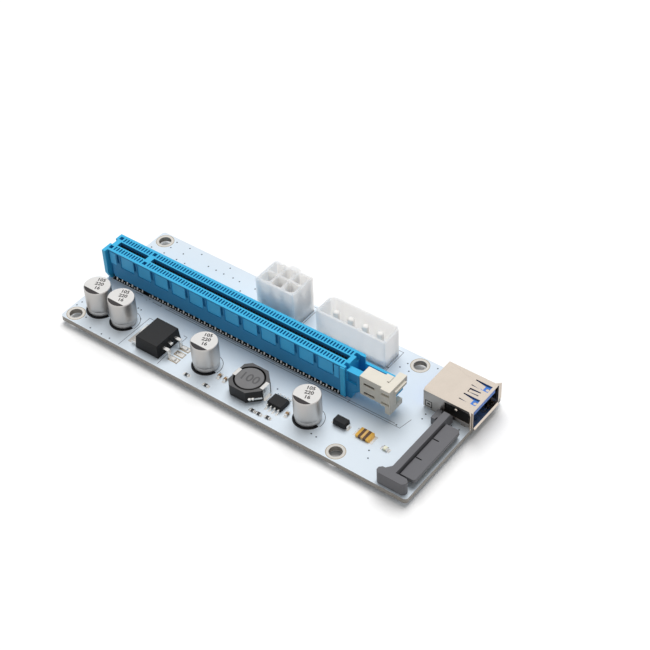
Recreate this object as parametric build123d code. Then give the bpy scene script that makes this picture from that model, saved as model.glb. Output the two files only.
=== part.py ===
from build123d import *
import math
import os

os.makedirs("parts", exist_ok=True)

# Powered riser card: a slot for a graphics card on a small board with its own power stage.
# x runs along the slot, y from the front edge to the rear edge, z up; all in millimetres.

# Board
board_thickness = 1.6
board_corner_radius = 1.0
pin_drop = 1.2                  # how far soldered pins stand out under the board
hole_inset = 3.2
hole_diameter = 3.8
hole_spacing_x = 94.4
front_strip = 20.9              # board in front of the slot
rear_strip = 17.6               # board behind the slot
slot_left_inset = 0.05

# Slot contacts
contact_pitch = 1.0
contacts_before_key = 11
contacts_after_key = 71
key_step = 3.0                  # last contact before the key to the first after it
contact_width = 0.4
contact_thickness = 0.35
outer_tail_row = 3.2            # tail rows, measured from the slot's middle
inner_row = 1.1

# Slot housing
slot_width = 7.5
slot_height = 11.25
slot_left_wall = 2.95           # end of the housing to the first contact
slot_near_end = 1.9             # last contact to the end of the near wall's bays
slot_far_end = 4.0              # last contact to the end of the far wall
slot_foot_height = 1.5
slot_far_end_wall = 1.0
slot_end_radius = 0.9
card_groove_width = 1.75
card_groove_depth = 7.8
spring_room_depth = 2.7         # lip above the contact springs
spring_top_gap = 0.35
card_groove_end = 0.5           # groove past its first and last contact
window_width = 0.52
window_length = 1.6
window_depth = 2.2
window_row = 2.15
marker_hole = 1.25
marker_row = 2.3
marker_offset = 1.5
end_ear_reach = 1.2
end_ear_thickness = 1.2
end_ear_cut = 2.6
end_notch_width = 2.4
end_notch_depth = 0.8
bay_pitch = 6.6
bay_count = 12
bay_start = 2.95
bay_width = 5.15
bay_rim = 0.5
left_slit = 0.8
bay_height = 4.6
bay_depth = 0.25
pocket_width = 0.95
pocket_gap = 0.12
pocket_height = 3.2
pocket_depth = 0.6

# Slot tail that carries the latch
shoulder_length = 4.4
shoulder_inset = 0.5            # near face of the shoulder, back from the slot's near face
shoulder_drop = 1.15            # top of the shoulder, down from the slot's top
shoulder_wall = 2.2
shoulder_post = 0.9
shoulder_window_height = 3.7
shoulder_window_depth = 0.7
shoulder_window_margin = 1.0
shoulder_base_drop = 1.0        # underside of the shoulder, below the tail's underside
brace_foot = 1.4
brace_knee = 2.4
brace_rise = 2.8
brace_inset = 0.3
tail_length = 13.9
tail_drop = 1.3                 # top of the tail, down from the shoulder's top
tail_height = 3.9
tail_near = 1.15                # near face of the tail's arm, in front of the slot's middle
tail_arm = 1.4
tail_far_wall = 0.85
tail_corner = 0.9
tail_floor = 0.8
tail_end_wall = 0.8

# Sliding latch, drawn open as it stands
latch_travel = 4.8
latch_clearance = 0.1
latch_wall = 0.4
latch_roof = 0.95
latch_plate_far = 0.7           # far edge of the roof, behind the slot's middle
latch_inner_length = 7.3
latch_outer_length = 3.1
latch_outer_step = 0.8
latch_tail_gap = 0.5            # latch's lower parts, below the tail's underside
latch_outer_lift = 0.2
latch_crossbar_step = 0.7
latch_crossbar_far = 3.7
latch_ledge_reach = 0.7
latch_ledge_drop = 0.95
latch_ledge_thickness = 0.9
latch_ledge_half = 2.5
latch_foot_thickness = 1.8
latch_foot_near = 2.55
latch_foot_far = 1.45
latch_foot_length = 1.6
latch_rib_length = 2.3
latch_rib_width = 0.9
latch_rib_gap = 0.3
latch_window_height = 0.8
latch_window_length = 3.7
latch_window_margin = 1.2
latch_window_lift = 0.1
latch_window_rise = 3.3
latch_outer_window_depth = 1.3
latch_outer_window_margin = 0.3
latch_outer_window_lift = 0.7

# Six pin power header
six_columns = 3
six_pitch = 4.2
six_row_pitch = 5.5
six_wall = 0.85
six_height = 12.8
six_cell = 3.35
six_cell_depth = 3.55
six_divider = 0.8
six_cell_bevel = 0.8
six_floor = 3.0
six_pin = 1.1
six_pin_top = 8.4
six_from_left = 53.0
six_from_rear = 6.8
six_latch_width = 3.4
six_latch_reach = 0.9
six_latch_height = 3.0

# Four pin power header
four_pins = 4
four_pitch = 5.08
four_pin_diameter = 2.1
four_pin_top = 8.8
four_tail = 1.3
four_end_room = 4.4
four_width = 8.0
four_height = 9.8
four_wall = 0.8
four_floor = 2.2
four_chamfer = 1.3
four_from_left = 78.4
four_from_rear = 6.0

# Capacitors
can_diameter = 8.0
can_height = 9.2
can_crimp_height = 1.7
can_crimp_depth = 0.35
can_crimp_rise = 0.45
can_foot = 0.25
can_lead_spacing = 3.5
can_lead = 0.6
can_places = ((7.9, 8.9), (17.0, 9.0), (48.3, 8.8), (84.2, 8.8))

# Voltage regulator
regulator_length = 8.6
regulator_width = 10.1
regulator_height = 4.4
regulator_draft = 0.35
regulator_standoff = 0.1
regulator_tab_thickness = 1.3
regulator_tab_reach = 2.0
regulator_tab_side = 0.6
regulator_lead_pitch = 2.54
regulator_lead_width = 1.1
regulator_lead_thickness = 0.5
regulator_lead_height = 2.4
regulator_lead_shelf = 2.3
regulator_lead_foot = 2.0
regulator_stub = 1.2
regulator_lead_root = 0.2
regulator_place = (31.4, 7.5)
pad_length = 2.8
pad_width = 1.4
pad_thickness = 0.08

# Power inductor
inductor_side = 10.5
inductor_height = 4.0
inductor_right_chamfer = 3.2
inductor_left_chamfer = 1.7
inductor_disc_diameter = 8.2
inductor_disc_offset = -0.5
inductor_groove = 0.5
inductor_floor = 1.0
inductor_terminal_width = 3.0
inductor_terminal_thickness = 0.2
inductor_terminal_hook = 1.0
inductor_terminal_foot = 1.8
inductor_standoff = 0.2
inductor_place = (64.8, 8.5)

# Control chip
chip_length = 4.9
chip_width = 3.9
chip_height = 1.5
chip_standoff = 0.15
chip_draft = 0.15
chip_leads = 4
chip_lead_pitch = 1.27
chip_lead_width = 0.42
chip_lead_thickness = 0.2
chip_span = 6.1
chip_foot = 0.6
chip_lead_height = 0.85
chip_place = (74.5, 8.0)

# Rectifier diode, resettable fuse and indicator
diode_size = (4.2, 2.6, 2.1)
diode_draft = 0.15
diode_terminal = 0.3
diode_terminal_width = 1.5
diode_terminal_height = 1.2
diode_foot = 0.8
diode_place = (93.1, 11.9)
fuse_size = (4.2, 3.3, 0.9)
fuse_cap = 0.9
fuse_place = (100.7, 12.2)
led_size = (1.6, 1.25, 0.75)
led_cap = 0.35
led_place = (108.0, 11.4)

# Chip resistors and chip capacitors: place, length along x or y
chip_part_cap = 0.4
resistor_size = (1.6, 0.85, 0.5)
resistor_places = ((46.4, 2.3), (53.5, 2.2), (70.2, 2.1), (72.4, 2.1), (75.2, 2.4))
ceramic_size = (1.6, 0.85, 0.8)
ceramic_places = ((54.4, 7.2), (56.6, 7.0), (78.8, 6.4))

# Data port
port_width = 13.2
port_length = 15.8
port_height = 7.0
port_sheet = 0.35
port_corner = 0.6
port_from_front = 36.9          # board front edge to the middle of the port
port_clear = 3.3                # open latch to the port's back
port_flange = 1.2
port_overhang = 0.5             # the port's mouth, past the board's edge
port_floor_lip = 0.4
port_spring_length = 5.2
port_spring_width = 2.6
port_spring_cut = 0.35
port_spring_spread = 3.05
port_spring_margin = 0.8
port_spring_opening = 1.2
port_small_spring_length = 3.4
port_small_spring_width = 1.6
port_small_spring_margin = 2.2
port_small_spring_opening = 0.7
port_side_window_length = 8.0
port_side_window_height = 3.8
port_side_window_margin = 1.0
port_side_window_lift = 0.2
port_block_length = 6.5
port_tongue_thickness = 1.8
port_tongue_gap = 1.0
port_tongue_recess = 1.6
port_tongue_height = 4.4
port_contact_count = 5
port_contact_pitch = 2.0
port_contact_width = 0.6
port_contact_proud = 0.15
port_contact_inset = 0.6
port_signal_offsets = (1.6, 4.2)
port_signal_counts = (5, 4)
port_signal_pitches = (2.0, 2.3)
port_pin = 0.6
port_leg_width = 1.4
port_leg_inset = 3.0
port_leg_overlap = 1.0

# Drive power connector
drive_contacts = 15
drive_contact_pitch = 1.27
drive_contact_proud = 0.1
drive_height = 4.2
drive_ear = 2.55
drive_ear_length = 9.2
drive_ear_bevel = 0.8
drive_gusset = 1.6
drive_lug_reach = 2.6           # the far lug, left of the bar
drive_lug_width = 3.8
drive_lug_height = 2.5
drive_lug_notch = 0.5
drive_lug_notch_depth = 0.9
drive_lug_neck = 0.7
drive_end_room = 1.3
drive_bar = 2.1
drive_bar_back = 2.8
drive_tongue_top = 3.0
drive_tongue_thickness = 1.25
drive_tongue_length = 4.9
drive_tongue_key = 1.2
drive_tongue_end = 1.9
drive_tongue_bevel = 0.5
drive_root_groove = 0.4
drive_root_depth = 0.8
drive_slit_width = 0.35
drive_slit_length = 2.3
drive_slits = (7.1, 15.1)
drive_edge_gap = 1.1
drive_port_gap = 0.4
drive_pin = 0.5
drive_near_row = 0.7            # the two rows of tails, as shares of the bar
drive_far_row = 0.3
drive_peg = 1.2
drive_peg_inset = 2.4

# Worked out sizes
tolerance_fit = 0.1
board_top = pin_drop + board_thickness
slot_gap_count = contacts_before_key + contacts_after_key - 2
slot_contact_run = slot_gap_count * contact_pitch + key_step
slot_first_x = slot_left_inset + slot_left_wall
slot_last_x = slot_first_x + slot_contact_run
slot_near_x = slot_last_x + slot_near_end
slot_far_x = slot_last_x + slot_far_end
slot_middle_y = front_strip + slot_width / 2
slot_half = slot_width / 2
tail_end_x = slot_near_x + tail_length
shoulder_top = slot_height - shoulder_drop
tail_top = shoulder_top - tail_drop
tail_bottom = tail_top - tail_height
shoulder_base = tail_bottom - shoulder_base_drop
latch_lowest = tail_bottom - latch_tail_gap
latch_outer_bottom = tail_bottom + latch_outer_lift
latch_crossbar_bottom = tail_top + 3 * latch_clearance
latch_foot_bottom = latch_lowest - latch_foot_thickness
latch_window_low = tail_bottom + latch_window_lift
latch_left_x = slot_near_x + latch_clearance + latch_travel
latch_right_x = latch_left_x + latch_inner_length + latch_outer_length
port_back_x = latch_right_x + latch_ledge_reach + port_clear
board_length = port_back_x + port_length - port_overhang
overall_length = port_back_x + port_length + port_floor_lip
board_width = front_strip + slot_width + rear_strip


def block(x0, x1, y0, y1, z0, z1):
    """A box between two corners, with z counted from the board's top face."""
    solid = Box(x1 - x0, y1 - y0, z1 - z0)
    return Pos((x0 + x1) / 2, (y0 + y1) / 2, (z0 + z1) / 2) * solid


def slot_block(x0, x1, y0, y1, z0, z1):
    """A box placed across the slot, with y counted from the slot's middle."""
    return block(x0, x1, slot_middle_y + y0, slot_middle_y + y1, z0, z1)


def flat_prism(points, z0, z1):
    """An upright prism over a plan outline."""
    face = make_face(Polyline(*points, close=True))
    return Pos(0, 0, z0) * extrude(face, z1 - z0, dir=(0, 0, 1))


def side_prism(points, x0, x1):
    """A prism along x over an outline given as y and z."""
    outline = [(x0, y, z) for y, z in points]
    face = make_face(Polyline(*outline, close=True))
    return extrude(face, x1 - x0, dir=(1, 0, 0))


def front_prism(points, y0, y1):
    """A prism along y over an outline given as x and z."""
    outline = [(x, y0, z) for x, z in points]
    face = make_face(Polyline(*outline, close=True))
    return extrude(face, y1 - y0, dir=(0, 1, 0))


def drafted_block(length, width, height, draft):
    """A moulded body whose walls lean in towards the top, centred over its base."""
    lean = math.degrees(math.atan(draft / height))
    return extrude(Rectangle(length, width), height, taper=lean)


def contact_places():
    """Each contact's x and whether its tail stands in the outer row."""
    places = []
    for number in range(contacts_before_key):
        places.append((slot_first_x + number * contact_pitch, number % 2 == 0))
    after_key = slot_first_x + (contacts_before_key - 1) * contact_pitch + key_step
    for number in range(contacts_after_key):
        places.append((after_key + number * contact_pitch, number % 2 == 1))
    return places


def make_board():
    """The board: round corners, mounting holes and the openings that its larger pins fill."""
    plan = RectangleRounded(board_length, board_width, board_corner_radius)
    board = extrude(Pos(board_length / 2, board_width / 2, 0) * plan, -board_thickness)
    cuts = []
    for x in (hole_inset, hole_inset + hole_spacing_x):
        for y in (hole_inset, board_width - hole_inset):
            cuts.append(Pos(x, y, 0) * Cylinder(hole_diameter / 2, 3 * board_thickness))
    cuts += [through_pin(x, y, six_pin, six_pin) for x, y in six_header_places()]
    cuts += [through_pin(x, y, four_tail, four_tail) for x, y in four_header_places()]
    cuts += [through_pin(x, y, drive_peg, drive_peg) for x, y in drive_peg_places()]
    cuts += [through_pin(x, y, port_leg_width, port_sheet) for x, y in port_leg_places()]
    board -= cuts
    return board


def through_pin(x, y, length, width, top=0.0):
    """A pin with a rectangular section from a height down to its soldered tip."""
    bottom = -board_thickness - pin_drop
    return block(x - length / 2, x + length / 2, y - width / 2, y + width / 2, bottom, top)


def slot_blank():
    """The housing before its cavities: body, end ear, feet and the far wall's run-out."""
    body = slot_block(slot_left_inset, slot_near_x, -slot_half, slot_half, slot_foot_height, slot_height)
    run_out_near = slot_half - slot_far_end_wall
    run_out = slot_block(slot_near_x, slot_far_x, run_out_near, slot_half, tail_bottom, slot_height)
    corner = run_out.edges().filter_by(Axis.Z).sort_by(Axis.X)[-2:].sort_by(Axis.Y)[-1]
    run_out = fillet(corner, slot_end_radius)
    ear = side_prism(
        [
            (slot_middle_y - slot_half - end_ear_reach, slot_height),
            (slot_middle_y - slot_half - end_ear_reach, end_ear_cut),
            (slot_middle_y - slot_half, 0),
            (slot_middle_y + slot_half, 0),
            (slot_middle_y + slot_half, slot_height),
        ],
        slot_left_inset,
        slot_left_inset + end_ear_thickness,
    )
    foot = slot_block(slot_near_x - slot_near_end, slot_near_x, -slot_half, slot_half, 0, slot_foot_height)
    return body + run_out + ear + foot


def slot_tail():
    """The open channel past the last contact, with the shoulder that stops the latch."""
    shoulder_x = slot_near_x + shoulder_length
    near = shoulder_inset - slot_half
    inner = near + shoulder_wall
    post_x = shoulder_x - shoulder_post
    shoulder = slot_block(slot_near_x, shoulder_x, near, inner, shoulder_base, shoulder_top)
    cross = slot_block(post_x, shoulder_x, near, tail_arm - tail_near, tail_bottom, tail_top)
    brace = front_prism(
        [
            (slot_near_x, 0),
            (slot_near_x + brace_foot, 0),
            (slot_near_x + brace_knee, brace_rise),
            (shoulder_x - brace_inset, shoulder_base),
            (shoulder_x - brace_inset, shoulder_base + tail_floor),
            (slot_near_x, shoulder_base + tail_floor),
        ],
        slot_middle_y + near,
        slot_middle_y + inner,
    )
    floor_top = tail_bottom + tail_floor
    arm = slot_block(post_x, tail_end_x, -tail_near, tail_arm - tail_near, tail_bottom, tail_top)
    root_floor = slot_block(slot_near_x, shoulder_x, near, slot_half, tail_bottom, floor_top)
    floor = slot_block(shoulder_x, tail_end_x, -tail_near, slot_half, tail_bottom, floor_top)
    far_wall = slot_block(slot_near_x, tail_end_x, slot_half - tail_far_wall, slot_half, tail_bottom, tail_top)
    end_wall = slot_block(tail_end_x - tail_end_wall, tail_end_x, -tail_near, slot_half, tail_bottom, tail_top)
    window = slot_block(
        slot_near_x + latch_clearance,
        post_x,
        near,
        near + shoulder_window_depth,
        slot_height - bay_rim - shoulder_window_margin - shoulder_window_height,
        slot_height - bay_rim - shoulder_window_margin,
    )
    web = flat_prism(
        [
            (slot_near_x, slot_middle_y + inner),
            (slot_near_x + tail_corner, slot_middle_y + inner),
            (slot_near_x, slot_middle_y + inner + tail_corner),
        ],
        tail_bottom,
        tail_top,
    )
    return shoulder + cross + brace + arm + root_floor + floor + far_wall + end_wall + web - window


def slot_cavities():
    """Everything that is cut out of the housing's top: groove, spring rooms, windows, markers."""
    cuts = []
    half_groove = card_groove_width / 2
    spring_half = inner_row + contact_thickness / 2
    key_left = slot_first_x + (contacts_before_key - 1) * contact_pitch + card_groove_end
    key_right = key_left + key_step - 2 * card_groove_end
    spans = ((slot_first_x - card_groove_end, key_left), (key_right, slot_last_x + card_groove_end))
    groove_floor = slot_height - card_groove_depth
    for left, right in spans:
        cuts.append(slot_block(left, right, -half_groove, half_groove, groove_floor, slot_height))
        room_top = slot_height - spring_room_depth
        cuts.append(slot_block(left, right, -spring_half, spring_half, groove_floor, room_top))
    for x, outer in contact_places():
        for side in (-1, 1):
            cuts.append(window_wedge(x, slot_middle_y + side * window_row))
    marker_x = (
        slot_first_x - marker_offset,
        (key_left + key_right) / 2,
        slot_last_x + marker_offset,
    )
    for x in marker_x:
        for side in (-1, 1):
            marker = Box(marker_hole, marker_hole, 2 * window_depth)
            cuts.append(Pos(x, slot_middle_y + side * marker_row, slot_height) * marker)
    return cuts


def window_wedge(x, y):
    """A contact's window: its front wall slopes down to meet its upright rear wall."""
    profile = [
        (y - window_length / 2, slot_height),
        (y + window_length / 2, slot_height),
        (y + window_length / 2, slot_height - window_depth),
    ]
    return side_prism(profile, x - window_width / 2, x + window_width / 2)


def slot_bays():
    """The shallow panels and deeper pockets along the near wall."""
    cuts = []
    top = slot_height - bay_rim
    near = -slot_half
    for number in range(bay_count):
        left = slot_first_x + bay_start + number * bay_pitch
        pocket_left = left + bay_width + pocket_gap
        cuts.append(slot_block(left, left + bay_width, near, near + bay_depth, top - bay_height, top))
        pocket_right = pocket_left + pocket_width
        cuts.append(slot_block(pocket_left, pocket_right, near, near + pocket_depth, top - pocket_height, top))
    return cuts


def slot_left_cuts():
    """The short first bay, the dark corner under it and the notch in the end wall."""
    ear_right = slot_left_inset + end_ear_thickness
    top = slot_height - bay_rim
    inner = -slot_half + pocket_depth
    slit = slot_block(ear_right, ear_right + left_slit, -slot_half, inner, slot_foot_height, top)
    under_right = slot_first_x - contact_width
    under = slot_block(ear_right, under_right, -slot_half, inner, slot_foot_height, top - bay_height)
    pocket_left = slot_first_x + bay_start - bay_pitch + bay_width + pocket_gap
    pocket = slot_block(
        pocket_left, pocket_left + pocket_width, -slot_half, inner, top - pocket_height, top
    )
    notch = slot_block(
        slot_left_inset,
        slot_left_inset + end_notch_depth,
        -end_notch_width / 2,
        end_notch_width / 2,
        slot_foot_height,
        slot_height,
    )
    return [slit, under, pocket, notch]


def make_slot_housing():
    """The moulded slot with its tail."""
    housing = slot_blank() + slot_tail()
    housing -= slot_cavities() + slot_bays() + slot_left_cuts()
    return housing


def make_slot_contacts(side):
    """One side's contacts: blades beside the groove, and blades buried in the wall under the bays."""
    spring_top = slot_height - spring_room_depth - spring_top_gap
    buried_top = slot_height - bay_rim - bay_height
    contacts = []
    for x, outer in contact_places():
        row = outer_tail_row if outer else inner_row
        top = buried_top if outer else spring_top
        y = slot_middle_y + side * row
        contacts.append(through_pin(x, y, contact_width, contact_thickness, top))
    return Compound(children=contacts)


def latch_heights():
    """The latch's roof: its underside just over the shoulder, and its top."""
    under = shoulder_top + latch_clearance
    return under, under + latch_roof


def latch_shell():
    """The latch's walls: roof, near wall, stop block, outer block, crossbar, ledge and foot."""
    under, top = latch_heights()
    near = -slot_half
    outer_near = near - latch_outer_step
    outer_x = latch_left_x + latch_inner_length
    right_x = latch_right_x
    arm_gap = -tail_near - 3 * latch_clearance
    stop_x = slot_near_x + shoulder_length + latch_travel + latch_clearance
    foot_x = right_x - latch_foot_length
    foot_top = latch_foot_bottom + latch_foot_thickness
    ledge_top = top - latch_ledge_drop
    roof = slot_block(latch_left_x, outer_x, near, latch_plate_far, under, top)
    wall = slot_block(latch_left_x, outer_x, near, near + latch_wall, latch_lowest, top)
    stop = slot_block(stop_x, outer_x, near, arm_gap, latch_lowest, under)
    outer = slot_block(outer_x, right_x, outer_near, arm_gap, latch_outer_bottom, top)
    crossbar = slot_block(
        outer_x + latch_crossbar_step, right_x, outer_near, latch_crossbar_far, latch_crossbar_bottom, top
    )
    ledge = slot_block(
        right_x,
        right_x + latch_ledge_reach,
        -latch_ledge_half,
        latch_ledge_half,
        ledge_top - latch_ledge_thickness,
        ledge_top,
    )
    leg = slot_block(foot_x, right_x, outer_near, arm_gap, latch_foot_bottom, latch_outer_bottom)
    foot = slot_block(foot_x, right_x, -latch_foot_near, latch_foot_far, latch_foot_bottom, foot_top)
    return roof + wall + stop + outer + crossbar + ledge + leg + foot


def latch_guide():
    """The rib that runs inside the tail's channel and stops at its end wall."""
    under, top = latch_heights()
    rib_near = tail_arm - tail_near + 2 * latch_clearance
    rib_far = rib_near + latch_rib_width
    rib_right = tail_end_x - tail_end_wall - latch_rib_gap
    rib_left = rib_right - latch_rib_length
    web_bottom = tail_top + 3 * latch_clearance
    rib_bottom = tail_bottom + tail_floor + 3 * latch_clearance
    web = slot_block(rib_left, rib_right, -tail_near, rib_far, web_bottom, under)
    roof = slot_block(rib_left, rib_right, -tail_near, rib_far, under, top)
    rib = slot_block(rib_left, rib_right, rib_near, rib_far, rib_bottom, web_bottom)
    return web + roof + rib


def make_slot_latch():
    """The sliding latch with two pairs of windows in its near face."""
    latch = latch_shell() + latch_guide()
    near = -slot_half
    outer_x = latch_left_x + latch_inner_length
    outer_near = near - latch_outer_step
    left = latch_left_x + latch_window_margin
    for low in (latch_window_low, latch_window_low + latch_window_rise):
        latch -= slot_block(
            left, left + latch_window_length, near, near + latch_wall, low, low + latch_window_height
        )
        outer_low = low + latch_outer_window_lift
        latch -= slot_block(
            outer_x + latch_outer_window_margin,
            latch_right_x - latch_outer_window_margin,
            outer_near,
            outer_near + latch_outer_window_depth,
            outer_low,
            outer_low + latch_window_height,
        )
    return latch


def six_header_places():
    """The six pins of the tall header."""
    rear_y = board_width - six_from_rear
    places = []
    for column in range(six_columns):
        x = six_from_left + (column - (six_columns - 1) / 2) * six_pitch
        for side in (-1, 1):
            places.append((x, rear_y + side * six_row_pitch / 2))
    return places


def six_cell_plan(bevelled):
    """A cell's outline; a bevelled one turns a plug that is the wrong way round away."""
    x = six_cell / 2
    y = six_cell_depth / 2
    if not bevelled:
        return [(-x, -y), (x, -y), (x, y), (-x, y)]
    cut = six_cell_bevel
    return [(-x, -y), (x, -y), (x, y - cut), (x - cut, y), (cut - x, y), (-x, y - cut)]


def make_six_housing():
    """A tall open shell with a cell for each pin and a latch ramp on its rear wall."""
    length = (six_columns - 1) * six_pitch + six_cell + 2 * six_wall
    width = six_divider + 2 * six_cell_depth + 2 * six_wall
    rear_y = board_width - six_from_rear
    housing = Pos(six_from_left, rear_y, six_height / 2) * Box(length, width, six_height)
    for column in range(six_columns):
        x = six_from_left + (column - (six_columns - 1) / 2) * six_pitch
        for side in (-1, 1):
            y = rear_y + side * (six_divider + six_cell_depth) / 2
            bevelled = (column + (side + 1) // 2) % 2 == 0
            turn = Rot(0, 0, 0 if side > 0 else 180)
            cell = flat_prism(six_cell_plan(bevelled), six_floor, six_height)
            housing -= Pos(x, y, 0) * turn * cell
    housing -= [through_pin(x, y, six_pin, six_pin, six_floor) for x, y in six_header_places()]
    ramp = side_prism(
        [
            (rear_y + width / 2, six_height - six_latch_height),
            (rear_y + width / 2, six_height),
            (rear_y + width / 2 + six_latch_reach, six_height),
        ],
        six_from_left - six_latch_width / 2,
        six_from_left + six_latch_width / 2,
    )
    return housing + ramp


def make_six_pins():
    """Square pins that pass the header's floor and the board."""
    places = six_header_places()
    return Compound(children=[through_pin(x, y, six_pin, six_pin, six_pin_top) for x, y in places])


def four_header_places():
    """The four pins of the wide header."""
    first = four_from_left - (four_pins - 1) * four_pitch / 2
    return [(first + number * four_pitch, board_width - four_from_rear) for number in range(four_pins)]


def four_outline(length, width, cut):
    """The wide header's plan: a rectangle with its two rear corners cut."""
    x = length / 2
    y = width / 2
    return [(-x, -y), (x, -y), (x, y - cut), (x - cut, y), (cut - x, y), (-x, y - cut)]


def make_four_housing():
    """An open shell around the four round pins."""
    length = (four_pins - 1) * four_pitch + 2 * four_end_room
    middle = Pos(four_from_left, board_width - four_from_rear, 0)
    housing = middle * flat_prism(four_outline(length, four_width, four_chamfer), 0, four_height)
    inner = four_outline(length - 2 * four_wall, four_width - 2 * four_wall, four_chamfer - four_wall / 2)
    housing -= middle * flat_prism(inner, four_floor, four_height)
    housing -= [through_pin(x, y, four_tail, four_tail, four_floor) for x, y in four_header_places()]
    return housing


def make_four_pins():
    """Round pins, each on a square tail through the floor and the board."""
    pins = []
    shank = Cylinder(four_pin_diameter / 2, four_pin_top - four_floor)
    for x, y in four_header_places():
        round_part = Pos(x, y, (four_pin_top + four_floor) / 2) * shank
        pins.append(round_part + through_pin(x, y, four_tail, four_tail, four_floor))
    return Compound(children=pins)


def make_cans():
    """Four aluminium cans, drawn in to a crimp near the foot."""
    radius = can_diameter / 2
    profile = [
        (0, 0),
        (radius - can_foot, 0),
        (radius - can_crimp_depth, can_crimp_height),
        (radius, can_crimp_height + can_crimp_rise),
        (radius, can_height),
        (0, can_height),
    ]
    outline = [(x, 0, z) for x, z in profile]
    can = revolve(make_face(Polyline(*outline, close=True)), Axis.Z)
    return Compound(children=[Pos(x, y, 0) * can for x, y in can_places])


def can_lead_places():
    """Two leads under each can."""
    places = []
    for x, y in can_places:
        places.append((x - can_lead_spacing / 2, y))
        places.append((x + can_lead_spacing / 2, y))
    return places


def make_can_leads():
    """The cans' leads through the board."""
    return Compound(children=[through_pin(x, y, can_lead, can_lead) for x, y in can_lead_places()])


def make_regulator_body():
    """The regulator's moulded body."""
    x, y = regulator_place
    height = regulator_height - regulator_standoff
    body = drafted_block(regulator_length, regulator_width, height, regulator_draft)
    return Pos(x, y, regulator_standoff) * body


def make_regulator_tab():
    """The heat tab on the body's left side, flat on the board."""
    x, y = regulator_place
    left = x - regulator_length / 2 - regulator_tab_reach
    half = regulator_width / 2 - regulator_tab_side
    right = x - regulator_length / 2
    return block(left, right, y - half, y + half, 0, regulator_tab_thickness)


def make_regulator_leads():
    """Two cranked leads and the cut middle one."""
    x, y = regulator_place
    start = x + regulator_length / 2
    thick = regulator_lead_thickness
    top = regulator_lead_height + thick
    bend = start + regulator_lead_shelf
    foot = bend + regulator_lead_foot
    crank = [
        (start - regulator_lead_root, regulator_lead_height),
        (start - regulator_lead_root, top),
        (bend, top),
        (bend, thick),
        (foot, thick),
        (foot, pad_thickness),
        (bend - thick, pad_thickness),
        (bend - thick, regulator_lead_height),
    ]
    leads = []
    for side in (-1, 1):
        middle = y + side * regulator_lead_pitch
        leads.append(front_prism(crank, middle - regulator_lead_width / 2, middle + regulator_lead_width / 2))
    half = regulator_lead_width / 2
    root = start - regulator_lead_root
    leads.append(block(root, start + regulator_stub, y - half, y + half, regulator_lead_height, top))
    return Compound(children=leads)


def make_regulator_pads():
    """Three tinned pads for the leads."""
    x, y = regulator_place
    left = x + regulator_length / 2 + regulator_lead_shelf
    pads = []
    for side in (-1, 0, 1):
        middle = y + side * regulator_lead_pitch
        pads.append(block(left, left + pad_length, middle - pad_width / 2, middle + pad_width / 2, 0, pad_thickness))
    return Compound(children=pads)


def inductor_plan():
    """The inductor's outline: a square with large right and small left corner cuts."""
    half = inductor_side / 2
    big = inductor_right_chamfer
    small = inductor_left_chamfer
    return [
        (-half + small, -half),
        (half - big, -half),
        (half, -half + big),
        (half, half - big),
        (half - big, half),
        (-half + small, half),
        (-half, half - small),
        (-half, -half + small),
    ]


def make_inductor_core():
    """The ferrite block, bored for its drum."""
    x, y = inductor_place
    core = flat_prism(inductor_plan(), inductor_standoff, inductor_height)
    bore = Cylinder(inductor_disc_diameter / 2 + inductor_groove, 2 * (inductor_height - inductor_floor))
    core -= Pos(inductor_disc_offset, 0, inductor_height) * bore
    return Pos(x, y, 0) * core


def make_inductor_drum():
    """The drum that stands in the bore; its rim leaves a ring of air."""
    x, y = inductor_place
    height = inductor_height - inductor_floor
    drum = Cylinder(inductor_disc_diameter / 2, height)
    return Pos(x + inductor_disc_offset, y, inductor_floor + height / 2) * drum


def make_inductor_terminals():
    """Two clips: down the left and right faces, over the top and under the foot."""
    x, y = inductor_place
    half = inductor_side / 2
    thick = inductor_terminal_thickness
    clips = []
    for side in (-1, 1):
        profile = [
            (half - inductor_terminal_foot, 0),
            (half + thick, 0),
            (half + thick, inductor_height + thick),
            (half - inductor_terminal_hook, inductor_height + thick),
            (half - inductor_terminal_hook, inductor_height),
            (half, inductor_height),
            (half, inductor_standoff),
            (half - inductor_terminal_foot, inductor_standoff),
        ]
        points = [(x + side * px, z) for px, z in profile]
        clips.append(front_prism(points, y - inductor_terminal_width / 2, y + inductor_terminal_width / 2))
    return Compound(children=clips)


def make_chip_body():
    """The control chip's moulded body."""
    x, y = chip_place
    body = drafted_block(chip_length, chip_width, chip_height, chip_draft)
    return Pos(x, y, chip_standoff) * body


def make_chip_leads():
    """Four cranked leads on each long side."""
    x, y = chip_place
    thick = chip_lead_thickness
    toe = chip_span / 2
    heel = toe - chip_foot
    root = chip_width / 2
    profile = [
        (root - chip_draft, chip_lead_height),
        (root - chip_draft, chip_lead_height + thick),
        (heel + thick, chip_lead_height + thick),
        (heel + thick, thick),
        (toe, thick),
        (toe, 0),
        (heel, 0),
        (heel, chip_lead_height),
    ]
    leads = []
    for number in range(chip_leads):
        middle = x + (number - (chip_leads - 1) / 2) * chip_lead_pitch
        for side in (-1, 1):
            points = [(y + side * py, z) for py, z in profile]
            leads.append(side_prism(points, middle - chip_lead_width / 2, middle + chip_lead_width / 2))
    return Compound(children=leads)


def make_diode_body():
    """The rectifier's moulded body."""
    x, y = diode_place
    length, width, height = diode_size
    return Pos(x, y, diode_terminal) * drafted_block(length, width, height - diode_terminal, diode_draft)


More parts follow.
